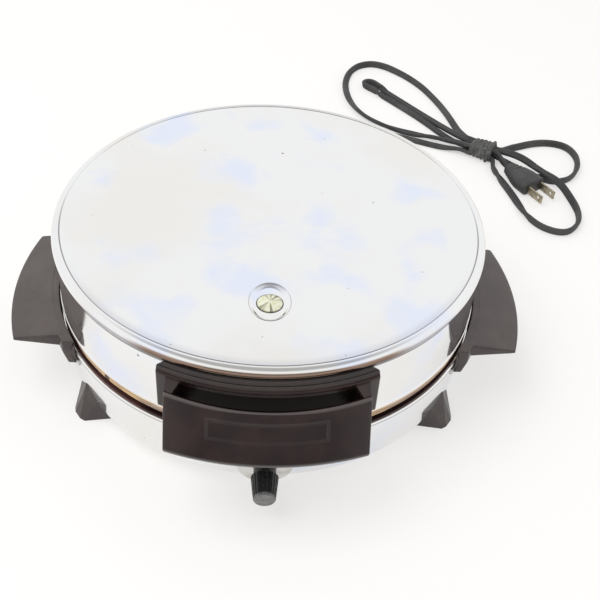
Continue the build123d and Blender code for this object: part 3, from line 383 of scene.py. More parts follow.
tie_cloth, tree, shader, place, _ = cloudy(
    "tie_strap", "tie_strap", 260.0, 0.35, 0.7, (0.085, 0.085, 0.083, 1), (0.16, 0.158, 0.152, 1), 3.0,
    Roughness=0.85)
bumped(tree, shader, place, 1500.0, 0.6, 0.0004)
tie = skin("cord_strap", [(tie_placed(wound_strap()), True), (tie_placed(twisted_end()), True)],
           "base", shift=0.0)
dress(tie, tie_cloth)
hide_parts("cord_tie")

# The plug is moulded of the cord's rubber, with a waisted back, a wide flat front and finger grooves.
# Its two brass blades are tarnished.
PLUG_START, PLUG_RUN = np.array([192.8, 193.6, 6.1]), unit(np.array([4.1, -6.8, 0.0]))


def plug_grid():
    """Along the plug's length, superellipse sections whose half width goes smoothly from 4.6 at the
    cord to 10.4 mm at the front and whose half height goes from 4.2 to 5.9 mm, with two grooves."""
    x = np.concatenate([[0.0], np.linspace(0, 29.9, 64), [29.9]])
    share = np.clip(x / 30.0, 0, 1)
    swell = share ** 1.2 * (3 - 2 * share)
    groove = 0.5 * np.exp(-((x - 6.0) / 0.7) ** 2) + 0.5 * np.exp(-((x - 9.0) / 0.7) ** 2)
    edge = 1.2 - np.sqrt(np.maximum(1.44 - np.clip(x - 28.7, 0, 1.2) ** 2, 0))
    half_w = 4.6 + 5.8 * np.clip(swell, 0, 1) - groove - edge
    half_h = 4.2 + 1.7 * np.clip(swell, 0, 1) - groove - edge
    half_w[[0, -1]] = 0
    half_h[[0, -1]] = 0
    t = np.linspace(0, 2 * np.pi, 48, endpoint=False)[:, None]
    y = lobed(np.cos(t), 0.5) * half_w
    z = lobed(np.sin(t), 0.5) * half_h
    side, upwards = np.array([-PLUG_RUN[1], PLUG_RUN[0], 0.0]), np.array([0, 0, 1.0])
    return PLUG_START + x[None, :, None] * PLUG_RUN + y[..., None] * side + z[..., None] * upwards


plug = skin("plug", [(plug_grid(), False)], "base", sharp=40, shift=0.0)
dress(plug, rubber)
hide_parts("plug_body")
brass, *_ = cloudy("blade_brass", "blade_brass", 300.0, 0.4, 0.7, (0.42, 0.37, 0.27, 1),
                   (0.20, 0.17, 0.13, 1), 3.0, Metallic=1.0, Roughness=0.32)
dress("plug_blades", brass)
dress("strain_relief", rubber)

# The base is a shallow bowl of chromed steel, drawn in one piece, with its rim turned inwards. Its wall
# bows in very gently towards the bottom and turns a round corner there.
TURN = np.linspace(0, 2 * np.pi, 360, endpoint=False)


def turned(outline):
    """A surface of revolution: the outline's radius and height, carried round the body's axis."""
    r, z = np.asarray(outline, float).T[..., None]
    return np.stack([r * np.cos(TURN), r * np.sin(TURN), np.repeat(z, len(TURN), 1)], -1)


def arc(centre_r, centre_z, radius, start, end, count):
    """Points of a circle in the radius and height plane, from one angle to another in degrees."""
    a = np.radians(np.linspace(start, end, count))
    return np.stack([centre_r + radius * np.cos(a), centre_z + radius * np.sin(a)], 1)


def bowl_outline():
    """Bottom, corner arc, wall arc, rolled rim and turned-in lip, then back on the inside, 1 mm in.
    The wall leans where its arc of 206 mm meets the corner's arc of 12 mm."""
    rim, floor, sheet, wall_r, corner_r = 41.8, 3.0, 1.0, 206.0, 12.0
    wall_centre, corner_centre = (127.0 - wall_r, rim), (113.14, floor + corner_r)
    lean = np.degrees(np.arcsin((rim - corner_centre[1]) / (wall_r - corner_r)))
    return np.concatenate([
        np.linspace((104, floor), (112.6, floor), 5), arc(*corner_centre, corner_r, -90, -lean, 14),
        arc(*wall_centre, wall_r, -lean, -0.3, 22), arc(126.1, 40.9, 0.9, 0, 90, 7),
        np.linspace((125.4, rim), (119.6, rim), 6), [(119.5, 41.7), (119.5, 40.9)],
        np.linspace((119.6, 40.8), (125.9, 40.8), 4), arc(*wall_centre, wall_r - sheet, -0.4, -lean, 16),
        arc(*corner_centre, corner_r - sheet, -lean, -90, 10),
        np.linspace((112.6, floor + sheet), (104, floor + sheet), 3)])


chrome, tree, shader, place = finish_of("chrome_shell", "chrome_shell", Metallic=1.0)
clean = (0.865, 0.868, 0.872, 1)
blue = effect(tree, CLOUDS, Vector=place, Scale=22.0, Detail=3.0, Low=0.5, High=0.66)
colour = tint(tree, blue, clean, (0.775, 0.82, 0.94, 1))
moved = vector(tree, "ADD", place, (0.37, 0.11, 0.23))
warm = effect(tree, CLOUDS, Vector=moved, Scale=12.0, Detail=5.0, Low=0.47, High=0.66)
colour = tint(tree, warm, colour, (0.85, 0.84, 0.815, 1))
pits = effect(tree, SPECKS, Vector=place, Scale=42.0, Size=0.055, Share=0.32)
colour = tint(tree, pits, colour, (0.22, 0.16, 0.10, 1))
crumbs = effect(tree, SPECKS, Vector=place, Scale=260.0, Size=0.16, Share=0.05)
colour = tint(tree, crumbs, colour, (0.45, 0.42, 0.38, 1))
NO_LOW, NO_HIGH = (-0.5, -0.4), (0.2, 0.3)     # beyond the whole iron


def about_axis(tree, place, axis_y=AXIS_Y / 1000.0, stretch=(1.0, 1.0, 0.0)):
    """The distance from an upright axis, as the length of the stretched flat vector from it, and the
    vector's own x, y and z, all in metres."""
    centred = vector(tree, "ADD", place, (0.0, -axis_y, 0.0))
    parts = add(tree, "ShaderNodeSeparateXYZ", {0: centred})
    distance = vector(tree, "LENGTH", vector(tree, "MULTIPLY", centred, stretch))
    return distance, *parts.outputs


# Painted light and shade on the chrome: each is a share, a colour and the masks that it lies in. In their
# order they are painted shade in the crease round the top, on its front, a painted bluish reflection
# beside it, painted shade under the bead, a painted grey reflection and a painted brown reflection of
# the handle on the bead's front, a painted dark line of shade just below the base's rim, a painted golden
# highlight on the hem, and painted shade and a painted reflection of the handle round the dimple.
radius, _, depth, height = about_axis(tree, place)
oval = about_axis(tree, place, -0.0712, (1.0, 0.78, 0.0))[0]
high_up = band(tree, height, 0.0925, 0.0935, *NO_HIGH)
outer_side = band(tree, radius, 0.1240, 0.1250, *NO_HIGH)
# The bead's front is painted with a reflection of the handle, brown above and going dark below as a painted
# shadow of the handle's plate.
painted_reflection_fade = add(tree, "ShaderNodeMapRange", {0: height, 1: 0.0893, 2: 0.0932}).outputs[0]
brown = tint(tree, painted_reflection_fade, (0.03, 0.02, 0.015, 1), (0.30, 0.19, 0.13, 1))
for share, shade, *masks in (
        (0.72, (0.17, 0.165, 0.20, 1), band(tree, radius, 0.1216, 0.1221, 0.12245, 0.1227), high_up,
         band(tree, depth, *NO_LOW, -0.03, 0.03)),
        (0.3, (0.42, 0.43, 0.52, 1), band(tree, radius, 0.1165, 0.1218, 0.1219, 0.1221), high_up,
         band(tree, depth, *NO_LOW, -0.09, -0.04)),
        (0.8, (0.12, 0.11, 0.11, 1), band(tree, height, 0.0868, 0.0876, 0.0888, 0.0897), outer_side),
        (0.75, (0.30, 0.30, 0.34, 1), band(tree, height, 0.0884, 0.0892, 0.0918, 0.0932), outer_side,
         band(tree, depth, *NO_LOW, -0.092, -0.066)),
        (0.93, brown, band(tree, height, 0.0880, 0.0886, 0.0930, 0.0940), outer_side,
         band(tree, depth, *NO_LOW, -0.112, -0.101)),
        (0.6, (0.26, 0.24, 0.25, 1), band(tree, height, 0.0398, 0.0402, 0.0408, 0.0412),
         band(tree, radius, 0.1258, 0.1262, *NO_HIGH)),
        (0.7, (0.78, 0.60, 0.36, 1), band(tree, height, 0.0505, 0.0508, 0.0518, 0.0528), outer_side),
        (0.55, (0.28, 0.26, 0.25, 1), band(tree, oval, 0.0110, 0.0112, 0.0114, 0.0117), high_up,
         band(tree, depth, *NO_LOW, -0.072, -0.066)),
        (0.6, (0.45, 0.43, 0.40, 1), band(tree, oval, 0.0086, 0.0112, 0.0113, 0.0117), high_up,
         band(tree, depth, -0.0695, -0.0640, *NO_HIGH)),
        (0.8, (0.17, 0.11, 0.11, 1), band(tree, oval, 0.0103, 0.0110, 0.0115, 0.0118), high_up,
         band(tree, depth, *NO_LOW, -0.0893, -0.0865))):
    colour = tint(tree, times(tree, *masks, share), colour, shade)
tree.links.new(colour, shader.inputs["Base Color"])
roughened(tree, shader, warm, 0.07, 0.16)
bumped(tree, shader, place, 22.0, 0.05, 0.004)
bowl = skin("base_bowl", [(turned(bowl_outline()), True)], "base")
dress(bowl, chrome)
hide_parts("base_shell")

# The lid is a shallow drum of chromed steel with a nearly flat top, a rolled bead round its edge and a
# hemmed skirt. An oval dimple near the front holds the jewel of the signal lamp.
PANEL_R, CROWN_Z, CROWN_RISE = 122.3, 97.0, 2.1
CROWN_R = (PANEL_R ** 2 + CROWN_RISE ** 2) / (2 * CROWN_RISE)
JEWEL_Y, HOLE_R, DIMPLE_DEPTH, DIMPLE_HALF = -76.0, 7.4, 1.5, (10.7, 14.3)
SHEET = 1.0


def crown_at(r):
    """Height of the top panel, a shallow sphere."""
    return CROWN_Z - CROWN_R + np.sqrt(CROWN_R ** 2 - r ** 2)


def top_rows(lowered):
    """The top panel from the jewel's hole out to its crease: rings that grow from the hole's circle
    through ovals of the dimple and then blend from the outermost oval to the panel's circle. The
    height is the crown's, less the dimple's depth times a smooth step of the oval's growth."""
    spread = np.linspace(-2.4, 0.9, 16)
    circle = np.stack([np.cos(TURN), np.sin(TURN)], -1)
    first = (HOLE_R + np.array([0.0, 0.08, 0.3]))[:, None, None] * circle
    ovals = (np.array(DIMPLE_HALF) + spread[:, None])[:, None] * circle
    rings = np.concatenate([first, ovals]) + np.array([0, JEWEL_Y])
    grown = np.concatenate([np.full(3, -4.0), spread])
    step = np.clip((grown + 2.3) / 2.9, 0, 1)
    drop = DIMPLE_DEPTH * (1 - step ** 2 * (3 - 2 * step))
    w = np.linspace(0, 1, 62)[1:]
    w -= 0.06 * np.sin(2 * np.pi * w)
    edge = (PANEL_R - 0.4) * circle
    outer = rings[-1][None] * (1 - w)[:, None, None] + edge[None] * w[:, None, None]
    flat = np.concatenate([rings, outer])
    drop = np.concatenate([drop, np.zeros(len(w))])
    z = crown_at(np.hypot(flat[..., 0], flat[..., 1])) - drop[:, None] - lowered
    return np.concatenate([flat, z[..., None]], -1)


def lid_grid():
    """Top panel, crease, bead arc, skirt and hem on the outside, then the same rows on the inside."""
    bead_centre, bead_r, skirt_r = (123.2, 91.4), 3.8, 125.6
    lean = np.degrees(np.arccos((skirt_r - bead_centre[0]) / bead_r))
    edge = np.concatenate([
        [(122.08, 94.74), (122.28, 94.66), (122.44, 94.84)],
        arc(*bead_centre, bead_r, 100, -lean, 26), np.linspace((skirt_r, 88.2), (skirt_r, 53.1), 16),
        [(125.68, 52.85), (125.95, 52.7), (126.15, 52.4), (126.2, 51.9), (126.15, 51.4), (125.95, 51.1),
         (125.6, 51.0), (125.0, 51.0), (124.7, 51.15), (124.6, 51.6)],
        np.linspace((skirt_r - SHEET, 53), (skirt_r - SHEET, 88.0), 8),
        arc(*bead_centre, bead_r - SHEET, -60, 98, 14), [(122.5, 93.78), (122.2, 93.7)]])
    return np.concatenate([top_rows(0.0), turned(edge), top_rows(SHEET)[::-1]])


lid = skin("lid_drum", [(lid_grid(), True)], "lid")
dress(lid, chrome)
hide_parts("lid_shell")

# The jewel is a facetted lens of pale yellow-green glass, cut in two rows of twelve facets round a small
# table, held from inside by a spring clip over the pilot lamp.
JEWEL_FLOOR = float(crown_at(-JEWEL_Y)) - DIMPLE_DEPTH


def jewel_grid():
    """Rings of 24 corners: every ring is a circle whose radius alternates between a wide and a narrow
    one, so that the facets are kites. The lower rings are the round flange behind the panel."""
    wide, narrow, z = np.array([
        (0, 0, -2.1), (8.9, 8.9, -2.1), (8.9, 8.9, -1.1), (7.25, 7.25, -1.0), (7.25, 7.25, 0.05),
        (6.85, 6.6, 0.4), (4.5, 5.1, 1.1), (2.2, 2.0, 1.45), (0, 0, 1.55)]).T[..., None]
    corners = np.arange(24)
    angle = 2 * np.pi * corners / len(corners)
    r = np.where(corners % 2 == 0, wide, narrow)
    return np.stack([r * np.cos(angle), r * np.sin(angle) + JEWEL_Y, JEWEL_FLOOR + z + 0 * r], -1)


glass, tree, shader, place = finish_of("jewel_glass", "jewel_glass", Roughness=0.06, IOR=1.5,
                                       Transmission_Weight=0.1)
veined = effect(tree, CLOUDS, Vector=place, Scale=420.0, Detail=2.0, Low=0.35, High=0.65)
colour = tint(tree, veined, (0.98, 0.98, 0.80, 1), (0.80, 0.81, 0.55, 1))
# Facets picked at random are painted dark, as painted reflections in the cut glass.
from_axis = vector(tree, "ADD", place, (0.0, 0.0712, 0.0))
way_round = add(tree, "ShaderNodeTexGradient", {"Vector": from_axis}, gradient_type="RADIAL").outputs["Fac"]
sector = maths(tree, "FLOOR", maths(tree, "MULTIPLY", way_round, 24.0), 0.5)
facet = add(tree, "ShaderNodeTexWhiteNoise", {"W": sector}, noise_dimensions="1D").outputs["Value"]
painted_dark_facet = add(tree, "ShaderNodeMapRange", {0: facet, 1: 0.68, 2: 0.95, 3: 0.0, 4: 0.85}).outputs[0]
colour = tint(tree, painted_dark_facet, colour, (0.16, 0.16, 0.08, 1))
# The lens's edge, from 6.9 mm out from its axis, is painted dark as shade.
radius = about_axis(tree, place, -0.0712)[0]
outline = band(tree, radius, 0.0066, 0.0069, *NO_HIGH)
coloured(tree, shader, times(tree, outline, 0.85), colour, (0.07, 0.07, 0.04, 1))
jewel = skin("jewel", [(np.swapaxes(jewel_grid(), 0, 1), False)], "lid", sharp=8)
dress(jewel, glass)
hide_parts("signal_lens")
lamp_glass, *_ = cloudy("lamp_glass", "lamp_glass", 200.0, 0.4, 0.6, (0.9, 0.8, 0.6, 1),
                        (0.8, 0.68, 0.5, 1), 2.0, Roughness=0.1, Transmission_Weight=0.6)
dress("pilot_lamp", lamp_glass)

# Under the skirt shows the lid's trim ring, a thin steel band, tan at its top and darker brown towards
# the bottom, with heat stains. Below it the drip ring of the base, brown with baked-on grease, lies on
# the rim's lip.
stained, tree, shader, place = finish_of("stained_steel", "stained_steel", Metallic=0.3, Roughness=0.42)
parts = add(tree, "ShaderNodeSeparateXYZ", {0: place})
height = add(tree, "ShaderNodeMapRange", {0: parts.outputs[2], 1: 0.0470, 2: 0.0504}).outputs[0]
colour = tint(tree, height, (0.36, 0.25, 0.20, 1), (0.80, 0.62, 0.46, 1))
blotch = effect(tree, CLOUDS, Vector=place, Scale=34.0, Detail=6.0, Low=0.4, High=0.62)
colour = tint(tree, blotch, colour, (0.74, 0.50, 0.25, 1))
drawn = vector(tree, "MULTIPLY", place, (1.0, 1.0, 14.0))
streaks = effect(tree, CLOUDS, Vector=drawn, Scale=90.0, Detail=5.0, Low=0.48, High=0.62)
colour = tint(tree, times(tree, streaks, 0.6), colour, (0.20, 0.11, 0.08, 1))
charred = effect(tree, SPECKS, Vector=place, Scale=190.0, Size=0.45, Share=0.2)
coloured(tree, shader, charred, colour, (0.08, 0.045, 0.03, 1))
trim = skin("trim_band", [
    (turned([(123.6, 45.9), (124.4, 45.8), (124.9, 45.9), (125.1, 46.7), (124.9, 47.8), (124.9, 50.6),
             (124.5, 51.8), (124.0, 51.9), (123.6, 51.8)]), True),
    (turned([(103.2, 54.3), (113, 54.3), (124, 51.1), (124, 51.9), (113, 55.1), (103.2, 55.1)]), True)],
    "lid", sharp=40)
dress(trim, stained)
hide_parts("lid_trim_ring")
liner, tree, shader, place, _ = cloudy(
    "brown_liner", "brown_liner", 38.0, 0.4, 0.65, (0.036, 0.014, 0.015, 1), (0.110, 0.045, 0.042, 1), 6.0,
    Roughness=0.45, Metallic=0.2)
bumped(tree, shader, place, 350.0, 0.3, 0.0005)
drip = skin("drip_pan_ring", [
    (turned([(103.2, 37.2), (113, 37.2), (118.9, 41.8), (125.5, 41.8), (125.5, 42.6), (118.5, 42.6),
             (112.6, 38), (103.2, 38)]), True)], "base", sharp=40)
dress(drip, liner)
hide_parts("drip_ring")

# The handles and feet are compression moulded in dark brown phenolic. The front handle is a curved plate
# on the lid's skirt, with a sloping panel held off it by a web at each end, so that fingers go behind it.
PLATE_IN, PLATE_OUT = 125.65, 130.35
PANEL_TOP, PANEL_LOW, PANEL_HALF = np.array([140.5, 81.5]), np.array([155.6, 57.0]), 52.5


def softened(corners, radii, count=5):
    """A closed outline with each corner rounded: points of a quadratic curve between the tangent
    points, which lie the given distance from the corner on both sides."""
    corners = np.asarray(corners, float)
    before, after = np.roll(corners, 1, 0), np.roll(corners, -1, 0)
    radii = np.broadcast_to(radii, len(corners))[:, None]
    start = corners + unit(before - corners) * radii
    end = corners + unit(after - corners) * radii
    w = np.linspace(0, 1, count)[None, :, None]
    curves = start[:, None] * (1 - w) ** 2 + 2 * corners[:, None] * w * (1 - w) + end[:, None] * w ** 2
    return curves.reshape(-1, 2)


def filled(outline, step=1.6):
    """The outline with more points on its long edges, evenly spaced."""
    after = np.roll(outline, -1, 0)
    counts = np.maximum((np.linalg.norm(after - outline, axis=1) / step).astype(int), 1)
    return np.concatenate([np.linspace(*edge, endpoint=False) for edge in zip(outline, after, counts)])


def outwards(outline):
    """Unit normals of a closed outline in its plane, away from its middle."""
    along = unit(np.roll(outline, -1, 0) - np.roll(outline, 1, 0))
    normal = np.stack([along[:, 1], -along[:, 0]], 1)
    return normal * np.sign(np.sum(normal * (outline - outline.mean(0))))


def curved_bar(outline, half, stations, edge=0.7, middle=0.0):
    """A bar along the body's front: the outline in radius and height at each station x, with
    y = -sqrt(r^2 - x^2). Near both ends it is drawn in by edge - sqrt(edge^2 - d^2), and the ends close
    on the outline's middle. The bar's own middle may stand beside the body's."""
    near = np.clip(np.abs(stations) - (half - edge), 0, edge)
    drawn = edge - np.sqrt(np.maximum(edge ** 2 - near ** 2, 0))
    section = outline[:, None, :] - outwards(outline)[:, None, :] * drawn[None, :, None]
    core = np.repeat(outline.mean(0)[None, None], len(outline), 0)
    section = np.concatenate([core, section, core], axis=1)
    x = np.concatenate([[-half], stations, [half]]) + middle
    r, z = section[..., 0], section[..., 1]
    return np.stack([np.broadcast_to(x, r.shape), -np.sqrt(r ** 2 - x ** 2), z], -1)


def stations(half, edge=0.7, count=60, extra=()):
    """Places along a bar: even in the middle, close together at the rounded ends and at the extras."""
    ends = half - edge + edge * np.sin(np.linspace(0, np.pi / 2, 6))
    even = np.linspace(-half + edge, half - edge, count)
    return np.unique(np.round(np.concatenate([-ends, ends, even, *extra]), 4))


def handle_plate():
    """The curved plate on the skirt."""
    corners = [(PLATE_IN, 58.0), (PLATE_OUT, 58.0), (PLATE_OUT, 83.5), (PLATE_IN, 83.5)]
    return curved_bar(filled(softened(corners, [0.3, 0.9, 0.9, 0.3])), 57.5, stations(57.5))


def handle_panel():
    """The sloping panel, whose face is sunk in a bare field with a fine raised edge: the depth is a
    product of steps across the panel and down it. Its top edge rises towards both ends by a square
    law, which fades out down the face."""
    field_half, field_down, field_at, field_depth, lip_h, face_run = 30.0, 4.3, 11.8, 0.5, 0.16, 28.8
    slope = unit(PANEL_LOW - PANEL_TOP)
    out = np.array([-slope[1], slope[0]])
    corners = [PANEL_TOP, PANEL_LOW, (154.2, 54.4), PANEL_LOW - out * 3.2, PANEL_TOP - out * 3.2]
    outline = filled(softened(corners, [0.8, 0.6, 0.5, 0.5, 0.8]), 0.45)
    fine = np.concatenate([side * (field_half + np.linspace(-1.2, 1.2, 15)) for side in (-1, 1)])
    x = stations(PANEL_HALF, 0.8, 90, [fine])
    grid = curved_bar(outline, PANEL_HALF, x, 0.8)
    down = (outline - PANEL_TOP) @ slope
    raised = (outline - PANEL_TOP) @ out
    on_face = (raised > -0.35) & (down > 2) & (down < 27)
    across = np.abs(np.concatenate([[-PANEL_HALF], x, [PANEL_HALF]]))

    def within(margin):
        """One inside the field's outline, grown by a margin, and zero outside it."""
        share_x = np.clip((field_half + margin - across) / 0.5 + 0.5, 0, 1)
        share_down = np.clip((field_down + margin - np.abs(down - field_at)) / 0.5 + 0.5, 0, 1)
        return share_x[None] * share_down[:, None]

    inside = within(0.0)
    lip = within(0.9) - inside
    push = np.where(on_face[:, None], lip_h * lip - field_depth * inside, 0.0)
    grid[..., :2] += unit(grid[..., :2]) * (push * out[0])[..., None]
    grid[..., 2] += push * out[1]
    rise = np.clip(1 - down / face_run, 0, 1)
    grid[..., 2] += rise[:, None] * (2.4 * (across / PANEL_HALF) ** 2 - 0.8)
    return grid


def handle_web(side):
    """An end web: the outline between the plate and the panel, ruled from the finger gap's slanted
    side to the panel's end."""
    corners = [(129.6, 58.2), (129.6, 82.95), (140.6, 81.35), (155.2, 57.0), (152.9, 55.4)]
    outline = filled(softened(corners, 0.35, 3), 1.2)
    at_plate, at_panel, outer = 44.5, 49.2, 52.1
    inner = at_plate + (at_panel - at_plate) * np.clip((outline[:, 0] - PLATE_OUT) / 10.15, 0, 1)
    w = np.concatenate([[0], np.linspace(0, 1, 6), [1]])
    x = inner[:, None] + (outer - inner)[:, None] * w
    section = np.repeat(outline[:, None], len(w), 1)
    section[:, [0, -1]] = outline.mean(0)
    x[:, 0] = inner.mean()
    r = section[..., 0]
    return np.stack([side * x, -np.sqrt(r ** 2 - x ** 2), section[..., 1]], -1)


def moulded(name, dark, light, level_dust_and_sheen, rough_low, rough_high):
    """Phenolic with its mottled colour, lint, a paler tone on its level faces that is partly settled dust
    and partly painted sheen, and painted highlights on the front panel's upper and lower edges. The trough
    between the front handle's plate and panel is painted nearly black as shade, with its specular level
    turned down."""
    material, tree, shader, place = finish_of(name, "brown_plastic")
    mottled = effect(tree, CLOUDS, Vector=place, Scale=70.0, Detail=6.0, Low=0.35, High=0.7)
    colour = tint(tree, mottled, dark, light)
    lint = effect(tree, SPECKS, Vector=place, Scale=320.0, Size=0.16, Share=0.08)
    colour = tint(tree, lint, colour, (0.22, 0.20, 0.18, 1))
    # Level faces are painted paler, partly as settled dust and partly as painted sheen.
    facing = add(tree, "ShaderNodeNewGeometry").outputs["Normal"]
    upward = add(tree, "ShaderNodeSeparateXYZ", {0: facing}).outputs[2]
    settled = effect(tree, CLOUDS, Vector=place, Scale=48.0, Detail=4.0, Low=0.2, High=0.8)
    dust = fade(tree, upward, 0.85, 1.0, 0.0, level_dust_and_sheen)
    dusty = add(tree, "ShaderNodeMapRange", {0: settled, 3: 0.7, 4: 1.0}).outputs[0]
    colour = tint(tree, times(tree, dust, dusty), colour, (0.150, 0.126, 0.118, 1))
    radius, across, _, height = about_axis(tree, place)
    # Painted shade: the trough between the front handle's plate and panel is painted nearly black, with its
    # specular level turned down.
    trough = times(tree, band(tree, radius, 0.120, 0.128, 0.1400, 0.1408),
                   band(tree, height, 0.052, 0.055, 0.0800, 0.0814),
                   band(tree, across, -0.0515, -0.0505, 0.0505, 0.0515))
    # Painted highlights on the front panel's rounded lower and upper edges.
    lower_edge_highlight = times(tree, band(tree, radius, 0.150, 0.1505, *NO_HIGH),
                       band(tree, height, 0.05, 0.051, 0.0572, 0.0582), 0.8)
    colour = tint(tree, lower_edge_highlight, colour, (0.13, 0.12, 0.12, 1))
    upper_edge_highlight = times(tree, band(tree, radius, 0.1400, 0.1404, 0.1411, 0.1417),
                       band(tree, height, 0.0795, 0.0800, *NO_HIGH), 0.7)
    colour = tint(tree, upper_edge_highlight, colour, (0.12, 0.10, 0.098, 1))
    coloured(tree, shader, trough, colour, (0.0065, 0.0030, 0.0022, 1))
    gloss = add(tree, "ShaderNodeMapRange", {0: trough, 3: 0.5, 4: 0.06})
    tree.links.new(gloss.outputs[0], shader.inputs["Specular IOR Level"])
    roughened(tree, shader, settled, rough_low, rough_high)
    bumped(tree, shader, place, 140.0, 0.10, 0.0006, 6.0)
    return material


phenolic = moulded("brown_plastic", (0.014, 0.0055, 0.0052, 1), (0.026, 0.011, 0.010, 1), 0.15, 0.16, 0.28)
handle_forms = [handle_plate(), handle_panel(), handle_web(1), handle_web(-1)]
handle = skin("front_grip", [(form, False) for form in handle_forms], "lid", sharp=28)
dress(handle, phenolic)
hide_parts("lid_handle")

# The side handles are wings that stand out level from a curved plate on the bowl's wall, thick at the
# root and thin at their curved outer edge. They stand a little in front of the middle, as a mirrored
# pair, moulded in the same phenolic, whose colour is painted paler here as a sheen.
WING_MIDDLE, WING_HALF, WING_EDGE, WING_PLATE_HALF = -13.5, 46.0, 0.9, 51.0
WING_TIP_R, WING_TIP_X = 148.6, 3.9     # the tip's arc and its centre


def wing_grid():
    """For each y along the wing and each place w from its root, w = 0, to its curved tip, w = 1:
    x = root + (tip - root) * w, the half thickness falls evenly with the radius, and the tip and both
    ends are rounded by quarter circles. The loop goes out along the top and back along the bottom."""
    along = stations(WING_HALF, WING_EDGE, 60)
    y = along + WING_MIDDLE
    near = np.clip(np.abs(along) - (WING_HALF - WING_EDGE), 0, WING_EDGE) / WING_EDGE
    end_share = 0.62 + 0.38 * np.sqrt(np.maximum(1 - near ** 2, 0))
    w = np.concatenate([np.linspace(0, 0.9, 12), 0.9 + 0.1 * np.sin(np.linspace(0.1, np.pi / 2, 9))])
    round_tip = np.sqrt(np.maximum(1 - (np.clip(w - 0.9, 0, 0.1) / 0.1) ** 2, 0)) * 0.5 + 0.5
    round_tip[-1] = 0.45
    loop = np.concatenate([w, w[::-1]])
    sign = np.concatenate([np.ones(len(w)), -np.ones(len(w))])
    tip_share = np.concatenate([round_tip, round_tip[::-1]])
    root = np.sqrt(131.0 ** 2 - y ** 2)
    tip = WING_TIP_X + np.sqrt(WING_TIP_R ** 2 - along ** 2)
    x = root[None] + (tip - root)[None] * loop[:, None]
    share = (np.hypot(x, y[None]) - 132.5) / 24.5
    top = 50.0 - 3.0 * share
    low = 41.5 + 3.5 * share
    middle, half = (top + low) / 2, (top - low) / 2
    z = middle + sign[:, None] * half * tip_share[:, None] * end_share[None]
    grid = np.stack([x, np.broadcast_to(y, x.shape), z], -1)
    first, last = grid[:, :1].copy(), grid[:, -1:].copy()
    first[..., 2], last[..., 2] = middle[:, :1], middle[:, -1:]
    return np.concatenate([first, grid, last], axis=1)


def side_plate():
    """The plate behind the wing, the same kind of bar turned to the body's right."""
    corners = [(127.08, 33.0), (131.2, 33.0), (133.5, 41.5), (133.5, 50.0), (127.08, 50.0)]
    outline = filled(softened(corners, [0.3, 0.8, 1.2, 0.8, 0.3]))
    grid = curved_bar(outline, WING_PLATE_HALF, stations(WING_PLATE_HALF), middle=WING_MIDDLE)
    return np.stack([-grid[..., 1], grid[..., 0], grid[..., 2]], -1)


sheen_phenolic = moulded("sheen_plastic", (0.050, 0.038, 0.036, 1), (0.080, 0.064, 0.060, 1), 0.45, 0.26, 0.42)
for name, hand in (("right_wing", 1.0), ("left_wing", -1.0)):
    mirrored = np.array([hand, 1.0, 1.0])
    wing = skin(name, [(wing_grid() * mirrored, False), (side_plate() * mirrored, False)], "base", sharp=28)
    dress(wing, sheen_phenolic)
    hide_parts("side_handle_" + name.split("_")[0])

# Four wedge feet with cut facets stand under the bowl's corner, moulded like the handles, in the side
# handles' phenolic that is painted paler as a sheen.
for name in ("foot_front_left", "foot_front_right", "foot_rear_left", "foot_rear_right"):
    dress(name, sheen_phenolic)

# The temperature knob is glossy black plastic with fine flutes and a worn grey end. It turns a steel
# shaft in front of a round satin dial plate, which a nut holds to the wall.
black, tree, shader, place = finish_of("black_plastic", "black_plastic", Roughness=0.22)
parts = add(tree, "ShaderNodeSeparateXYZ", {0: place})
end_face = band(tree, parts.outputs[1], *NO_LOW, -0.1442, -0.1432)
smudge = effect(tree, CLOUDS, Vector=place, Scale=420.0, Detail=4.0, Low=0.35, High=0.7)
colour = tint(tree, smudge, (0.008, 0.008, 0.008, 1), (0.020, 0.019, 0.019, 1))
worn_grey = tint(tree, smudge, (0.15, 0.15, 0.15, 1), (0.24, 0.235, 0.23, 1))
coloured(tree, shader, end_face, colour, worn_grey)
dress("knob", black)
satin, *_ = cloudy("dial_metal", "dial_metal", 130.0, 0.4, 0.7, (0.74, 0.73, 0.71, 1),
                   (0.56, 0.53, 0.49, 1), Metallic=1.0, Roughness=0.17)
dress("dial_plate", satin)

# Plated steel: the hinge's bracket, arm, pin and clips at the back, all screws and rivets, the nut and
# the thermostat's case.
steel, tree, shader, place = finish_of("steel_parts", "steel_parts", Metallic=1.0)
stretched = vector(tree, "MULTIPLY", place, (1.0, 12.0, 12.0))
brushed = effect(tree, CLOUDS, Vector=stretched, Scale=120.0, Detail=4.0, Low=0.3, High=0.7)
aged = effect(tree, CLOUDS, Vector=place, Scale=60.0, Detail=5.0, Low=0.5, High=0.75)
colour = tint(tree, brushed, (0.60, 0.60, 0.60, 1), (0.70, 0.70, 0.70, 1))
coloured(tree, shader, aged, colour, (0.46, 0.42, 0.36, 1))
roughened(tree, shader, brushed, 0.24, 0.38)
for name in ("hinge_bracket", "hinge_bracket_screws", "hinge_pin", "pin_clips", "hinge_arm",
             "hinge_arm_screws", "lid_handle_screws", "side_handle_screws", "foot_screws", "rim_rivets",
             "bushing_nut", "thermostat_body", "thermostat_shaft", "bottom_plate_screws",
             "lower_grid_screws", "upper_grid_screws", "lens_clip"):
    dress(name, steel)

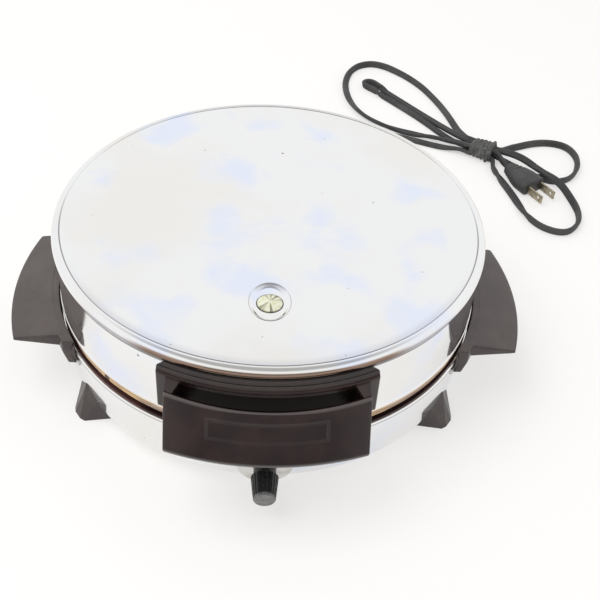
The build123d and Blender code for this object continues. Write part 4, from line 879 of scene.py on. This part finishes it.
# The grids are aluminium castings, seasoned by years of batter. Under and over them lie the tubular
# heaters in ceramic posts, and bright pans that throw the heat back.
cast, tree, shader, place = finish_of("cast_grid", "cast_grid", Metallic=0.8)
baked = effect(tree, CLOUDS, Vector=place, Scale=55.0, Detail=6.0, Low=0.38, High=0.68)
colour = tint(tree, baked, (0.34, 0.32, 0.30, 1), (0.13, 0.095, 0.07, 1))
grease = effect(tree, SPECKS, Vector=place, Scale=150.0, Size=0.5, Share=0.2)
coloured(tree, shader, grease, colour, (0.06, 0.04, 0.03, 1))
roughened(tree, shader, baked, 0.38, 0.6)
bumped(tree, shader, place, 700.0, 0.25, 0.0003)
for name in ("lower_grid", "upper_grid", "lower_grid_rim", "upper_grid_rim"):
    dress(name, cast)
sheath, *_ = cloudy("heater_sheath", "heater_sheath", 180.0, 0.35, 0.7, (0.07, 0.065, 0.06, 1),
                    (0.16, 0.13, 0.11, 1), 5.0, Metallic=0.6, Roughness=0.5)
for name in ("lower_coil", "upper_coil"):
    dress(name, sheath)
ceramic, *_ = cloudy("ceramic", "ceramic", 150.0, 0.4, 0.7, (0.78, 0.75, 0.68, 1), (0.62, 0.56, 0.47, 1),
                     Roughness=0.7)
for name in ("lower_insulators", "upper_insulators", "terminal_block", "lamp_bracket"):
    dress(name, ceramic)
bright, tree, shader, _, hazed = cloudy(
    "bright_sheet", "bright_sheet", 45.0, 0.4, 0.7, (0.80, 0.79, 0.77, 1), (0.60, 0.52, 0.40, 1), 5.0,
    Metallic=1.0)
roughened(tree, shader, hazed, 0.2, 0.42)
for name in ("lower_reflector", "upper_reflector"):
    dress(name, bright)
grey, *_ = cloudy("bottom_sheet", "bottom_sheet", 40.0, 0.4, 0.7, (0.26, 0.26, 0.265, 1),
                  (0.17, 0.165, 0.16, 1), 5.0, Metallic=0.5, Roughness=0.48)
dress("bottom_plate", grey)

# The iron stands on a white table in a bright room of even white light, with one large soft lamp above
# on the left. The table keeps a soft shadow and is white to the camera.
floor_mesh = bpy.data.meshes.new("table_top")
floor_mesh.from_pydata([(-4, -4, 0), (4, -4, 0), (4, 4, 0), (-4, 4, 0)], [], [(0, 1, 2, 3)])
table_top = bpy.data.objects.new("table_top", floor_mesh)
bpy.context.scene.collection.objects.link(table_top)
paper = bpy.data.materials.new("table_white")
paper.use_nodes = True
tree = paper.node_tree
tree.nodes.clear()
path = add(tree, "ShaderNodeLightPath")
seen = maths(tree, "MAXIMUM", path.outputs["Is Camera Ray"], path.outputs["Is Glossy Ray"])
seen = maths(tree, "MAXIMUM", seen, path.outputs["Is Transmission Ray"])
matt = add(tree, "ShaderNodeBsdfDiffuse", {"Color": (0.50, 0.488, 0.476, 1)})
glow = add(tree, "ShaderNodeEmission", {"Color": (1.0, 0.995, 0.985, 1), "Strength": 0.54})
lit = add(tree, "ShaderNodeAddShader", {0: matt.outputs[0], 1: glow.outputs[0]})
plain = add(tree, "ShaderNodeBsdfDiffuse", {"Color": (0.8, 0.79, 0.78, 1)})
mixed = add(tree, "ShaderNodeMixShader", {0: seen, 1: plain.outputs[0], 2: lit.outputs[0]})
add(tree, "ShaderNodeOutputMaterial", {"Surface": mixed.outputs[0]})
floor_mesh.materials.append(paper)

world = bpy.data.worlds.new("room")
bpy.context.scene.world = world
world.use_nodes = True
tree = world.node_tree
tree.nodes.clear()
path = add(tree, "ShaderNodeLightPath")
seen = maths(tree, "MAXIMUM", path.outputs["Is Camera Ray"], path.outputs["Is Transmission Ray"])
strength = add(tree, "ShaderNodeMapRange", {0: seen, 3: 0.72, 4: 1.0}).outputs[0]
# What the metal mirrors: the white room, with a greyer ceiling and a dimmer low part on its near side
ways = add(tree, "ShaderNodeSeparateXYZ", {0: add(tree, "ShaderNodeTexCoord").outputs["Generated"]})
ceiling = fade(tree, ways.outputs[2], 0.74, 0.97, 0.0, 0.52)
near_side = band(tree, ways.outputs[1], -2.0, -1.5, -0.93, -0.72)
low_down = band(tree, ways.outputs[2], -2.0, -1.5, 0.25, 0.42)
dimmer = times(tree, near_side, low_down, 0.6)
mirrored = maths(tree, "SUBTRACT", 1.0, maths(tree, "ADD", ceiling, dimmer))
strength = add(tree, "ShaderNodeMix", {0: path.outputs["Is Glossy Ray"], 2: strength, 3: mirrored},
               data_type="FLOAT").outputs[0]
light = add(tree, "ShaderNodeBackground", {"Color": (1, 1, 1, 1), "Strength": strength})
add(tree, "ShaderNodeOutputWorld", {"Surface": light.outputs[0]})

lamp = bpy.data.objects.new("soft_lamp", bpy.data.lights.new("soft_lamp", "AREA"))
bpy.context.scene.collection.objects.link(lamp)
lamp.data.shape = "DISK"
lamp.data.size = 1.1
lamp.data.energy = 9.0
lamp.visible_glossy = False
lamp_place = np.array([-0.7, -0.25, 1.5])
lamp_back = unit(lamp_place - np.array([0.0, 0.0, 0.05]))
lamp_side = unit(np.cross([0.0, 1.0, 0.0], lamp_back))
lamp_turn = np.stack([lamp_side, np.cross(lamp_back, lamp_side), lamp_back], 1)
lamp.matrix_world = placed_at(lamp_turn, lamp_place)
bpy.context.scene.view_settings.view_transform = "Standard"
